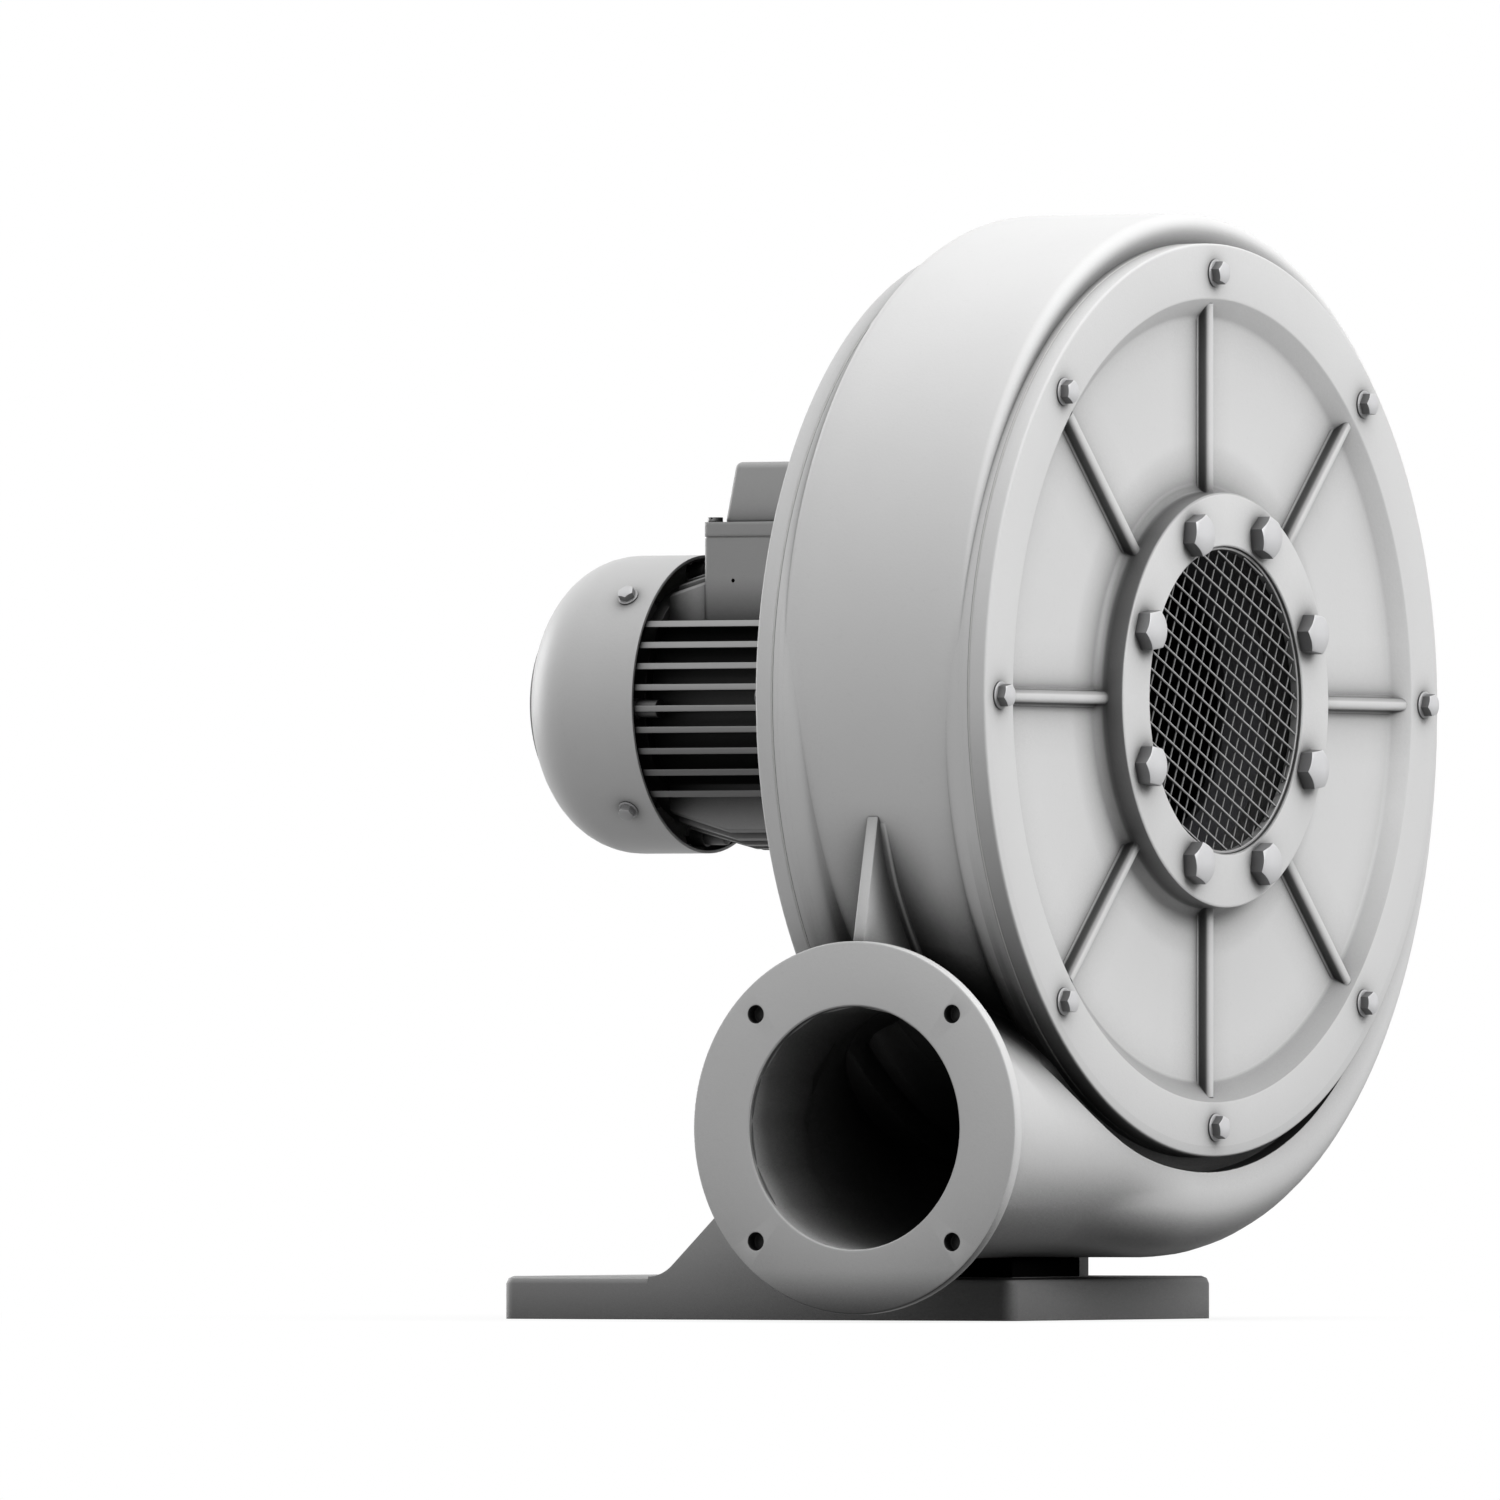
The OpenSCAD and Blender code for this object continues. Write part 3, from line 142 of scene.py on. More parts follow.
def add_studio():
    bpy.context.scene.view_settings.view_transform = "Standard"
    world = bpy.data.worlds.new("studio")
    bpy.context.scene.world = world
    world.use_nodes = True
    graph = Graph(world.node_tree)
    world.node_tree.nodes.clear()
    way = graph.add("ShaderNodeTexCoord").outputs["Generated"]
    up = graph.add("ShaderNodeSeparateXYZ", {0: way}).outputs["Z"]
    height = graph.math("MULTIPLY_ADD", up, 0.5, 0.5)
    dome = graph.ramp(height, ((0.40, 0.01), (0.56, 0.20), (0.75, 0.62), (1.0, 1.0)))
    soft = graph.add("ShaderNodeBackground", {"Color": dome, "Strength": WORLD_LEVEL}).outputs[0]
    white = graph.add("ShaderNodeBackground", {"Color": WHITE, "Strength": 1.0}).outputs[0]
    path = graph.add("ShaderNodeLightPath")
    clear = graph.math("MAXIMUM", path.outputs["Is Camera Ray"], path.outputs["Is Transmission Ray"])
    seen = graph.math("MAXIMUM", clear, path.outputs["Is Glossy Ray"])
    mixed = graph.add("ShaderNodeMixShader", {0: seen, 1: soft, 2: white}).outputs[0]
    graph.add("ShaderNodeOutputWorld", {"Surface": mixed})
    area_light("key", (4.2, 0.2, 2.6), (0.2, 0.0, 0.4), 2.4, KEY_POWER)
    area_light("top", (0.1, -0.2, 3.8), (0.0, 0.0, 0.4), 2.6, TOP_POWER)
    area_light("rear", (-4.3, 0.7, 1.1), (-0.1, 0.0, 0.4), 2.0, REAR_POWER)
    area_light("side", (-0.6, -4.2, 1.5), (0.0, 0.0, 0.4), 2.6, SIDE_POWER)


def add_floor():
    bpy.ops.object.select_all(action="DESELECT")
    bpy.ops.mesh.primitive_plane_add(size=40, location=(0, 0, 0))
    floor = bpy.context.object
    floor.name = "floor"
    material = bpy.data.materials.new("pale_floor")
    material.use_nodes = True
    material.node_tree.nodes.clear()
    graph = Graph(material.node_tree)
    unseen = graph.add("ShaderNodeBsdfDiffuse", {"Color": (0.24, 0.24, 0.24, 1)}).outputs[0]
    shown = graph.add("ShaderNodeBsdfDiffuse", {"Color": (0.9, 0.9, 0.9, 1)}).outputs[0]
    white = graph.add("ShaderNodeEmission", {"Color": WHITE}).outputs[0]
    place = graph.add("ShaderNodeTexCoord").outputs["Object"]
    away = graph.add("ShaderNodeVectorMath", {0: place}, operation="LENGTH").outputs["Value"]
    fade = graph.add("ShaderNodeMapRange", {"Value": away, "From Min": 0.2, "From Max": 0.6,
                                            "To Min": 0.82})
    near = graph.add("ShaderNodeMixShader", {0: fade.outputs["Result"], 1: shown, 2: white}).outputs[0]
    path = graph.add("ShaderNodeLightPath")
    seen = graph.math("MAXIMUM", path.outputs["Is Camera Ray"], path.outputs["Is Glossy Ray"])
    mixed = graph.add("ShaderNodeMixShader", {0: seen, 1: unseen, 2: near}).outputs[0]
    graph.add("ShaderNodeOutputMaterial", {"Surface": mixed})
    floor.data.materials.append(material)


# Painted shade that several finishes share. Where the facing masks for it begin and end, in metres:
COVER_INSIDE = 0.290
COVER_OUTSIDE = 0.2985
FRONT_RIM = 0.246
COVERS_BACK = 0.07
OUTLET_FRONT = -0.3080


def new_group(name, numbers_in, sockets_out):
    tree = bpy.data.node_groups.new(name, "ShaderNodeTree")
    for title, value in numbers_in:
        socket = tree.interface.new_socket(title, in_out="INPUT", socket_type="NodeSocketFloat")
        socket.default_value = value
    for title, kind in sockets_out:
        tree.interface.new_socket(title, in_out="OUTPUT", socket_type="NodeSocket" + kind)
    graph = Graph(tree)
    given = graph.add("NodeGroupInput").outputs
    result = graph.add("NodeGroupOutput").inputs
    return tree, graph, given, result


# Ambient occlusion, which the finishes use to paint shade into corners and cavities.
def crevice_group():
    tree, graph, given, result = new_group(
        "crevice_shade", (("Reach", 0.1), ("Depth", 1.0)), (("Open", "Float"),))
    hollow = graph.add("ShaderNodeAmbientOcclusion", {"Distance": given["Reach"]}, samples=8)
    graph.link(graph.math("POWER", hollow.outputs["AO"], given["Depth"]), result["Open"])
    return tree


def edge_group():
    # Edge mask that the finishes lighten, part wear and part painted highlight, and a rounded normal.
    tree, graph, given, result = new_group(
        "edge_wear_and_highlight", (("Radius", 0.001), ("Gain", 4.0)), (("Edge", "Float"), ("Normal", "Vector")))
    rounded = graph.add("ShaderNodeBevel", {"Radius": given["Radius"]}, samples=6).outputs[0]
    flat = graph.add("ShaderNodeNewGeometry").outputs["Normal"]
    same = graph.add("ShaderNodeVectorMath", {0: rounded, 1: flat}, operation="DOT_PRODUCT")
    apart = graph.math("SUBTRACT", 1.0, same.outputs["Value"], clamp=True)
    graph.link(graph.math("MULTIPLY", apart, given["Gain"], clamp=True), result["Edge"])
    graph.link(rounded, result["Normal"])
    return tree


def noise(graph, place, scale, detail):
    values = {"Vector": place, "Scale": scale, "Detail": detail}
    return graph.add("ShaderNodeTexNoise", values).outputs["Fac"]


def grain_group():
    tree, graph, given, result = new_group(
        "surface_grain", (("Fine", 900.0), ("Broad", 14.0)),
        (("Height", "Float"), ("Tone", "Float"), ("Specks", "Float")))
    place = graph.add("ShaderNodeTexCoord").outputs["Object"]
    fine = noise(graph, place, given["Fine"], 3.0)
    lumps = noise(graph, place, graph.math("MULTIPLY", given["Fine"], 0.22), 2.0)
    broad = noise(graph, place, given["Broad"], 4.0)
    spots = noise(graph, place, 260.0, 1.0)
    graph.link(graph.math("MULTIPLY_ADD", lumps, 0.6, fine), result["Height"])
    graph.link(broad, result["Tone"])
    graph.link(graph.ramp(spots, ((0.68, 0.0), (0.74, 1.0))), result["Specks"])
    return tree


def streak_group():
    tree, graph, given, result = new_group(
        "machined_streaks", (("Scale", 120.0), ("Length", 0.05)), (("Height", "Float"), ("Tone", "Float")))
    place = graph.add("ShaderNodeTexCoord").outputs["Object"]
    squeeze = graph.add("ShaderNodeCombineXYZ", {0: given["Length"], 1: 1.0, 2: 1.0}).outputs[0]
    long = graph.add("ShaderNodeVectorMath", {0: place, 1: squeeze}, operation="MULTIPLY").outputs[0]
    graph.link(noise(graph, long, given["Scale"], 5.0), result["Height"])
    graph.link(noise(graph, place, 30.0, 2.0), result["Tone"])
    return tree


def facing_group():
    """Masks that say where painted shade goes: undersides, the outlet's face, the undersides of the front cover's
    rim and, inside the rims of the covers, faces that lean upwards or stand across."""
    masks = ("Under", "Slope", "Recess", "Rim", "Outlet")
    tree, graph, given, result = new_group("facing", (("Lean", 0.0),), [(mask, "Float") for mask in masks])
    normal = graph.add("ShaderNodeNewGeometry").outputs["Normal"]
    way = graph.add("ShaderNodeSeparateXYZ", {0: normal}).outputs
    place = graph.add("ShaderNodeTexCoord").outputs["Object"]
    to_shaft = (0.0, 0.0, -SHAFT_HEIGHT)
    off = graph.add("ShaderNodeVectorMath", {0: place, 1: to_shaft}, operation="ADD").outputs[0]
    flat = graph.add("ShaderNodeVectorMath", {0: off, 1: (0.0, 1.0, 1.0)}, operation="MULTIPLY").outputs[0]
    away = graph.add("ShaderNodeVectorMath", {0: flat}, operation="LENGTH").outputs["Value"]
    spot = graph.add("ShaderNodeSeparateXYZ", {0: place}).outputs
    under = graph.math("MULTIPLY_ADD", way["Z"], -1.6, given["Lean"], clamp=True)
    graph.link(under, result["Under"])
    inside = graph.math("LESS_THAN", away, COVER_INSIDE)
    leaning = graph.ramp(way["Z"], ((0.15, 0.0), (0.40, 1.0), (0.78, 1.0), (0.92, 0.0)))
    graph.link(graph.math("MULTIPLY", leaning, inside), result["Slope"])
    across = graph.ramp(graph.math("ABSOLUTE", way["X"]), ((0.30, 1.0), (0.55, 0.0)))
    behind = graph.math("LESS_THAN", spot["X"], COVERS_BACK)
    cover = graph.math("SUBTRACT", inside, behind, clamp=True)
    graph.link(graph.math("MULTIPLY", across, cover), result["Recess"])
    band = graph.math("MULTIPLY", graph.math("LESS_THAN", away, COVER_OUTSIDE),
                      graph.math("GREATER_THAN", away, COVER_INSIDE))
    ring = graph.math("MULTIPLY", band, graph.math("GREATER_THAN", spot["X"], FRONT_RIM))
    graph.link(graph.math("MULTIPLY", under, ring), result["Rim"])
    graph.link(graph.math("LESS_THAN", spot["Y"], OUTLET_FRONT), result["Outlet"])
    return tree


def new_material(name, rough, metal=0.0, specular=0.5):
    material = bpy.data.materials.new(name)
    material.use_nodes = True
    graph = Graph(material.node_tree)
    shader = material.node_tree.nodes["Principled BSDF"]
    shader.inputs["Roughness"].default_value = rough
    shader.inputs["Metallic"].default_value = metal
    shader.inputs["Specular IOR Level"].default_value = specular
    return material, graph, shader


def place_group(graph, tree, **values):
    return graph.add("ShaderNodeGroup", values, node_tree=tree).outputs


def tinted(color, share):
    return (*[min(1.0, part * share) for part in color], 1)


def shaded(graph, color, bare, reach, depth, cave):
    """The colour with painted shade from ambient occlusion: dark corners, dark halos round raised parts and nearly
    black cavities.
    """
    near = place_group(graph, GROUPS["crevice"], Reach=reach, Depth=depth)
    corner = graph.mix(near["Open"], tinted(color, 0.05), bare)
    far = place_group(graph, GROUPS["crevice"], Reach=cave, Depth=1.0)
    stops = ((0.08, 0.0), (0.25, 0.22), (0.46, 0.74), (0.70, 0.97), (1.0, 1.0))
    return graph.mix(graph.ramp(far["Open"], stops), tinted(color, 0.012), corner)


def relief(graph, shader, strength, distance, height, normal):
    values = {"Strength": strength, "Distance": distance, "Height": height, "Normal": normal}
    graph.link(graph.add("ShaderNodeBump", values).outputs[0], shader.inputs["Normal"])


def painted(name, color, rough=0.5, reach=0.035, depth=1.7, radius=1.2, bumps=0.12, wear_and_highlight=0.10, specular=0.3,
            cave=0.30, under=0.0, slope=0.0, recess=0.0, rim=0.0, outlet=0.0, lean=0.0, edge_tone=1.18):
    """Satin paint on metal: faint orange peel and specks, lighter edges that are part wear and part painted
    highlight, painted shade in corners and cavities, and painted shade on the faces that the facing masks pick
    out.
    """
    material, graph, shader = new_material(name, rough, specular=specular)
    grains = place_group(graph, GROUPS["grain"], Fine=620.0, Broad=9.0)
    edges = place_group(graph, GROUPS["edge"], Radius=radius * MM, Gain=5.0)
    tone = graph.mix(grains["Tone"], tinted(color, 0.95), tinted(color, 1.03))
    # Lighter edges: part wear, part painted highlight.
    worn_and_highlit = graph.mix(graph.math("MULTIPLY", edges["Edge"], wear_and_highlight), tone, tinted(color, edge_tone))
    specks_and_shade = graph.mix(graph.math("MULTIPLY", grains["Specks"], 0.05), worn_and_highlit, tinted(color, 0.6))
    # Painted shade on undersides, slopes, recesses, the rim's underside and the outlet's face, as far as each
    # amount asks.
    for mask, amount in (("Under", under), ("Slope", slope), ("Recess", recess), ("Rim", rim),
                         ("Outlet", outlet)):
        if amount:
            facing = place_group(graph, GROUPS["facing"], Lean=lean)
            specks_and_shade = graph.mix(graph.math("MULTIPLY", facing[mask], amount), specks_and_shade, tinted(color, 0.2))
    graph.link(shaded(graph, color, specks_and_shade, reach, depth, cave), shader.inputs["Base Color"])
    sheen = graph.math("MULTIPLY_ADD", grains["Tone"], 0.12, rough - 0.06)
    graph.link(sheen, shader.inputs["Roughness"])
    relief(graph, shader, bumps, 0.0006, grains["Height"], edges["Normal"])
    return material


def bare_metal(name, color, rough, metal=0.85, streaks=120.0, length=0.05, reach=0.03, depth=1.7, cave=0.10,
               recess=0.0):
    """Bare or plated metal with tooling streaks, lighter edges that are part wear and part painted highlight, and
    painted shade in corners, on undersides and across recesses.
    """
    material, graph, shader = new_material(name, rough, metal)
    lines = place_group(graph, GROUPS["streak"], Scale=streaks, Length=length)
    edges = place_group(graph, GROUPS["edge"], Radius=0.5 * MM, Gain=4.0)
    tone = graph.mix(lines["Tone"], tinted(color, 0.88), tinted(color, 1.08))
    # Lighter edges: part wear, part painted highlight.
    bright = graph.mix(graph.math("MULTIPLY", edges["Edge"], 0.4), tone, tinted(color, 1.3))
    # Painted shade on undersides and, as far as asked, across recesses.
    facing = place_group(graph, GROUPS["facing"])
    bright = graph.mix(graph.math("MULTIPLY", facing["Under"], 0.6), bright, tinted(color, 0.2))
    bright = graph.mix(graph.math("MULTIPLY", facing["Recess"], recess), bright, tinted(color, 0.2))
    shade = shaded(graph, color, bright, reach, depth, cave)
    graph.link(shade, shader.inputs["Base Color"])
    sheen = graph.math("MULTIPLY_ADD", lines["Height"], 0.2, rough - 0.1)
    graph.link(sheen, shader.inputs["Roughness"])
    relief(graph, shader, 0.05, 0.0004, lines["Height"], edges["Normal"])
    return material


def moulded(name, color, rough, grain=1400.0, bumps=0.15):
    """Moulded plastic, rubber or varnish with a fine even grain, lighter edges that are part wear and part painted
    highlight, and painted shade in hollows.
    """
    material, graph, shader = new_material(name, rough)
    grains = place_group(graph, GROUPS["grain"], Fine=grain, Broad=25.0)
    edges = place_group(graph, GROUPS["edge"], Radius=0.6 * MM, Gain=3.0)
    hollow = place_group(graph, GROUPS["crevice"], Reach=0.04, Depth=1.0)
    tone = graph.mix(grains["Tone"], tinted(color, 0.85), tinted(color, 1.15))
    rubbed_and_highlit = graph.mix(graph.math("MULTIPLY", edges["Edge"], 0.5), tone, tinted(color, 1.5))
    # Painted shade in hollows.
    shade = graph.mix(hollow["Open"], tinted(color, 0.2), rubbed_and_highlit)
    graph.link(shade, shader.inputs["Base Color"])
    sheen = graph.math("MULTIPLY_ADD", grains["Tone"], 0.15, rough - 0.07)
    graph.link(sheen, shader.inputs["Roughness"])
    relief(graph, shader, bumps, 0.0003, grains["Height"], edges["Normal"])
    return material


# Modelling steps that several pieces share
ALONG_X = Vector((1, 0, 0))
ALONG_Y = Vector((0, 1, 0))
ALONG_Z = Vector((0, 0, 1))
ON_SHAFT = Vector((0, 0, SHAFT_HEIGHT))


def pick_only(*pieces):
    bpy.ops.object.select_all(action="DESELECT")
    for piece in pieces:
        piece.select_set(True)
    bpy.context.view_layer.objects.active = pieces[0]


def added(name, make, **settings):
    """A new piece from one of Blender's simple shapes."""
    bpy.ops.object.select_all(action="DESELECT")
    make(**settings)
    bpy.context.object.name = name
    return bpy.context.object


def tidy_mesh(piece, gap=1e-5):
    """Merges points that lie together, drops loose ones and turns the faces outwards."""
    pick_only(piece)
    bpy.ops.object.mode_set(mode="EDIT")
    bpy.ops.mesh.select_all(action="SELECT")
    bpy.ops.mesh.remove_doubles(threshold=gap)
    bpy.ops.mesh.delete_loose()
    bpy.ops.mesh.select_all(action="SELECT")
    bpy.ops.mesh.normals_make_consistent(inside=False)
    bpy.ops.object.mode_set(mode="OBJECT")


def pick_parts(piece, kind, test):
    """Enters edit mode with only the faces or edges that pass the test selected."""
    pick_only(piece)
    bpy.ops.object.mode_set(mode="EDIT")
    bpy.ops.mesh.select_mode(type=kind)
    bpy.ops.mesh.select_all(action="DESELECT")
    bpy.ops.object.mode_set(mode="OBJECT")
    points = piece.data.vertices
    for part in piece.data.polygons if kind == "FACE" else piece.data.edges:
        part.select = test([points[i].co for i in part.vertices])
    bpy.ops.object.mode_set(mode="EDIT")


def settle(piece):
    pick_only(piece)
    bpy.ops.object.transform_apply(location=True, rotation=True, scale=True)


def finish_with(piece, kind, **settings):
    modifier = piece.modifiers.new(kind.lower(), kind)
    for name, value in settings.items():
        setattr(modifier, name, value)
    pick_only(piece)
    bpy.ops.object.modifier_apply(modifier=modifier.name)


def round_edges(piece, width, segments=2, angle=40):
    finish_with(piece, "BEVEL", width=width * MM, segments=segments, limit_method="ANGLE",
                angle_limit=math.radians(angle), harden_normals=False, miter_outer="MITER_SHARP")


def combine(piece, tool, operation):
    finish_with(piece, "BOOLEAN", object=tool, operation=operation, solver="EXACT")
    bpy.data.objects.remove(tool)


def join(name, pieces):
    pick_only(*pieces)
    bpy.ops.object.join()
    pieces[0].name = name
    return pieces[0]


def turned(name, outline, centre=ON_SHAFT, axis=ALONG_X, side=ALONG_Y, steps=128):
    """Outline of (distance along the axis, radius) in mm, spun about the axis."""
    piece = added(name, bpy.ops.mesh.primitive_circle_add, vertices=len(outline), radius=0.1,
                  fill_type="NOTHING")
    for vertex, (along, radius) in zip(piece.data.vertices, outline):
        vertex.co = centre + (axis * along + side * radius) * MM
    bpy.ops.object.mode_set(mode="EDIT")
    bpy.ops.mesh.select_all(action="SELECT")
    bpy.ops.mesh.spin(steps=steps, angle=math.tau, center=centre, axis=axis)
    bpy.ops.object.mode_set(mode="OBJECT")
    tidy_mesh(piece, 2e-6)
    return piece


def arc(along, radius, bend, first, last, steps=5):
    """Points of a rounded corner of an outline, angles from the axis's direction."""
    angles = [math.radians(first + (last - first) * i / steps) for i in range(steps + 1)]
    return [(along + bend * math.cos(a), radius + bend * math.sin(a)) for a in angles]


def block(name, low, high):
    piece = added(name, bpy.ops.mesh.primitive_cube_add, size=1)
    piece.scale = [(b - a) * MM for a, b in zip(low, high)]
    piece.location = [(a + b) / 2 * MM for a, b in zip(low, high)]
    settle(piece)
    return piece


def rod(name, first, last, radius, vertices=32):
    first, last = Vector(first) * MM, Vector(last) * MM
    piece = added(name, bpy.ops.mesh.primitive_cylinder_add, vertices=vertices, radius=radius * MM,
                  depth=(last - first).length)
    piece.location = (first + last) / 2
    piece.rotation_euler = (last - first).to_track_quat("Z", "Y").to_euler()
    settle(piece)
    return piece


def plate(name, corners, low, high):
    """Flat outline in the (Y, Z) plane, corners measured from the shaft, given a thickness along X."""
    piece = added(name, bpy.ops.mesh.primitive_circle_add, vertices=len(corners), radius=0.1,
                  fill_type="NGON")
    for vertex, (across, up) in zip(piece.data.vertices, corners):
        vertex.co = ON_SHAFT + Vector((low, across, up)) * MM
    bpy.ops.object.mode_set(mode="EDIT")
    bpy.ops.mesh.select_all(action="SELECT")
    bpy.ops.mesh.extrude_region_move(TRANSFORM_OT_translate={"value": ((high - low) * MM, 0, 0)})
    bpy.ops.object.mode_set(mode="OBJECT")
    tidy_mesh(piece)
    return piece


def copies(name, pattern, places):
    """The pattern, made once at the origin, copied to each place and joined."""
    made = []
    for place in places:
        piece = pattern.copy()
        piece.data = pattern.data.copy()
        bpy.context.scene.collection.objects.link(piece)
        piece.data.transform(place)
        made.append(piece)
    bpy.data.objects.remove(pattern)
    return join(name, made)


def round_shaft(count, ring, along, start=0.0, turn=0.0, flip=False):
    """Places of a pattern round the shaft, its own z axis along the shaft."""
    places = []
    for i in range(count):
        angle = math.radians(start + 360.0 * i / count)
        spot = ON_SHAFT + Vector((along, ring * math.cos(angle), ring * math.sin(angle))) * MM
        upright = Matrix.Rotation(math.radians(-90 if flip else 90), 4, "Y")
        places.append(Matrix.Translation(spot) @ Matrix.Rotation(angle, 4, "X") @ upright
                      @ Matrix.Rotation(math.radians(turn), 4, "Z"))
    return places


def node_copy(name, node):
    """A merged copy of a CAD node's mesh."""
    piece = bpy.data.objects.new(name, nodes[node].data.copy())
    bpy.context.scene.collection.objects.link(piece)
    piece.matrix_world = nodes[node].matrix_world
    tidy_mesh(piece)
    pick_only(piece)
    bpy.ops.object.mode_set(mode="EDIT")
    bpy.ops.mesh.select_all(action="SELECT")
    bpy.ops.mesh.dissolve_limited(angle_limit=math.radians(0.5))
    bpy.ops.object.mode_set(mode="OBJECT")
    return piece


def hand_over(piece, finish, body, *hidden, smooth=35, look=None):
    """Gives a piece its finish, shading and body, and hides the nodes that it stands for. A look is
    a material of the piece's own, in place of its finish's usual one."""
    piece.data.materials.clear()
    piece.data.materials.append(look or FINISHES[finish])
    pick_only(piece)
    bpy.ops.object.shade_smooth_by_angle(angle=math.radians(smooth))
    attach(piece, body)
    if hidden:
        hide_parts(*hidden)


def chamfered_hexagon(name, flats, height, top_share=0.95):
    corner = flats / 2 / math.cos(math.radians(30))
    top = flats / 2 * top_share
    fall = (corner - top) * math.tan(math.radians(30))
    head = rod(name, (0, 0, 0), (0, 0, height), corner, 6)
    outline = [(-1, 0), (-1, corner + 0.02), (height - fall, corner + 0.02), (height, top), (height, 0)]
    barrel = turned("barrel", outline, Vector((0, 0, 0)), ALONG_Z, ALONG_X, steps=48)
    combine(head, barrel, "INTERSECT")
    return head


def flanged_bolt(name, shank):
    """Hexagon head on a collar, in sizes that follow the shank's radius."""
    head = chamfered_hexagon(name, 3.3 * shank, 2 * shank)
    edge = 2.25 * shank
    outline = [(0, 0), (0, edge), (0.12 * shank, edge)]
    outline += arc(0.2 * shank, edge - 0.12 * shank, 0.12 * shank, 90, 20, 3)
    outline += [(0.5 * shank, 1.7 * shank), (0.5 * shank, 0)]
    collar = turned("collar", outline, Vector((0, 0, 0)), ALONG_Z, ALONG_X, steps=48)
    return join(name, [head, collar])


# Sizes, in mm from the part's own frame. The casing's planes along the shaft:
SHAFT_MM = SHAFT_HEIGHT / MM
FRONT_PLANE = 251.5
REAR_PLANE = 115.0
SEAT = 4.5
RIM_FACE = 269.0
REAR_RIM_FACE = 97.5
GASKET = RIM_FACE - 12.0 - FRONT_PLANE - SEAT
WALL = 6.2

# Radii about the shaft
OPENING = 262.0
COVER_EDGE = 297.0
POCKET = 307.0
BOLT_CIRCLE = 277.8
SPIGOT = 261.8
RECESS_EDGE = 260.6
RECESS = 10.4
RIB_END = 258
HUB = 135.0

# The scroll: four quarter circles, each about a centre of its own, and how its corners round off
QUARTERS = (283.5, 306.0, 328.5, 351.0)
SHIFT = 11.25
CORNER = 17.5
RUN_CORNER = 32.0
REAR_CORNER = 3.0
TIGHT = 4.0
TOP_CORNER = 12.0
BULGE = 12.0
BULGE_SPREAD = 0.45

# The outlet duct and its flange
DUCT_X = 178.0
DUCT_DROP = 277.75
DUCT = 84.5
DUCT_Z = SHAFT_MM - DUCT_DROP
OUTLET_FACE = -308.5
FLANGE_BACK = -299.0
FLANGE_EDGE = 120.0
FLANGE_HOLE = 73.1
BLEND_LENGTH = 110.0

# How many points a section of the scroll has in each of its stretches
INNER_POINTS = 10
OUTER_POINTS = 7
CORNER_POINTS = 8
WALL_POINTS = 6
STEP = 0.05

# The foot's saddle, the terminal box's lid and the motor's cowl
SADDLE_LOW, SADDLE_HIGH = 28.2, 49.4
LID_START = 10.7
LID_FACE = 521.6
DOME_LENGTH, DOME_HALF = 83.0, 43.0
DOME_BOTTOM, DOME_TOP = 519.5, 561.0
DOME_SLANT = 5.4
COWL_BOLT_X, COWL_BOLT_RADIUS = -133.5, 98.05

# The inlet guard
WIRE_PITCH = 10.7
HOOP = 98.0


def spaced(first, last, count):
    return [first + (last - first) * i / (count - 1) for i in range(count)]


def scroll_section(reach, corner, inner, pocket=None, rear_corner=None, bulge=0.0):
    """(x, distance from the quarter's centre) round one section, from the front opening to the rear one."""
    rear_corner = rear_corner or corner
    if pocket is None:
        wide = corner
        radii = spaced(inner, reach - corner, INNER_POINTS + OUTER_POINTS)
        back_radii = spaced(inner, reach - rear_corner, INNER_POINTS + OUTER_POINTS)
    else:
        wide = corner + BULGE_SPREAD * (reach - corner - pocket) * bulge / BULGE
        side = spaced(inner, pocket, INNER_POINTS)
        radii = side + spaced(pocket + STEP, reach - wide, OUTER_POINTS)
        back_radii = side + spaced(pocket + STEP, reach - corner, OUTER_POINTS)
    turns = [math.radians(90.0 * i / CORNER_POINTS) for i in range(CORNER_POINTS + 1)]
    crown = FRONT_PLANE + bulge
    points = [(crown if i >= INNER_POINTS else FRONT_PLANE, r) for i, r in enumerate(radii)]
    points += [(crown - (corner + bulge) * (1 - math.cos(a)), reach - wide * (1 - math.sin(a)))
               for a in turns[1:]]
    across = spaced(FRONT_PLANE - corner, REAR_PLANE + rear_corner, WALL_POINTS + 2)[1:-1]
    points += [(x, reach) for x in across]
    points += [(REAR_PLANE + rear_corner * (1 - math.sin(a)), reach - rear_corner * (1 - math.cos(a)))
               for a in turns[:-1]]
    return points + [(REAR_PLANE, r) for r in reversed(back_radii)]


def height_at(radius, across):
    return math.sqrt(radius * radius - across * across) if abs(across) < radius else 0.0


def duct_section(across):
    """The same points led round the outlet duct, at angles from its top. The outer ones change where
    the casing's opening and the pocket cross the duct."""
    def mark(radius):
        return math.degrees(math.acos(max(-1.0, (height_at(radius, across) - DUCT_DROP) / DUCT)))
    inner, pocket = mark(OPENING + 0.5), mark(POCKET)
    side = spaced(inner, pocket, INNER_POINTS)
    angles = side + spaced(pocket - STEP, 54, OUTER_POINTS) + spaced(54, 26, CORNER_POINTS + 1)[1:]
    angles += spaced(26, -20, WALL_POINTS + 2)[1:-1] + spaced(-20, -50, CORNER_POINTS + 1)[:-1]
    angles += spaced(-50, STEP - pocket, OUTER_POINTS) + [-a for a in reversed(side)]
    turns = [math.radians(a) for a in angles]
    return [(DUCT_X + DUCT * math.sin(a), DUCT_DROP - SHIFT + DUCT * math.cos(a)) for a in turns]


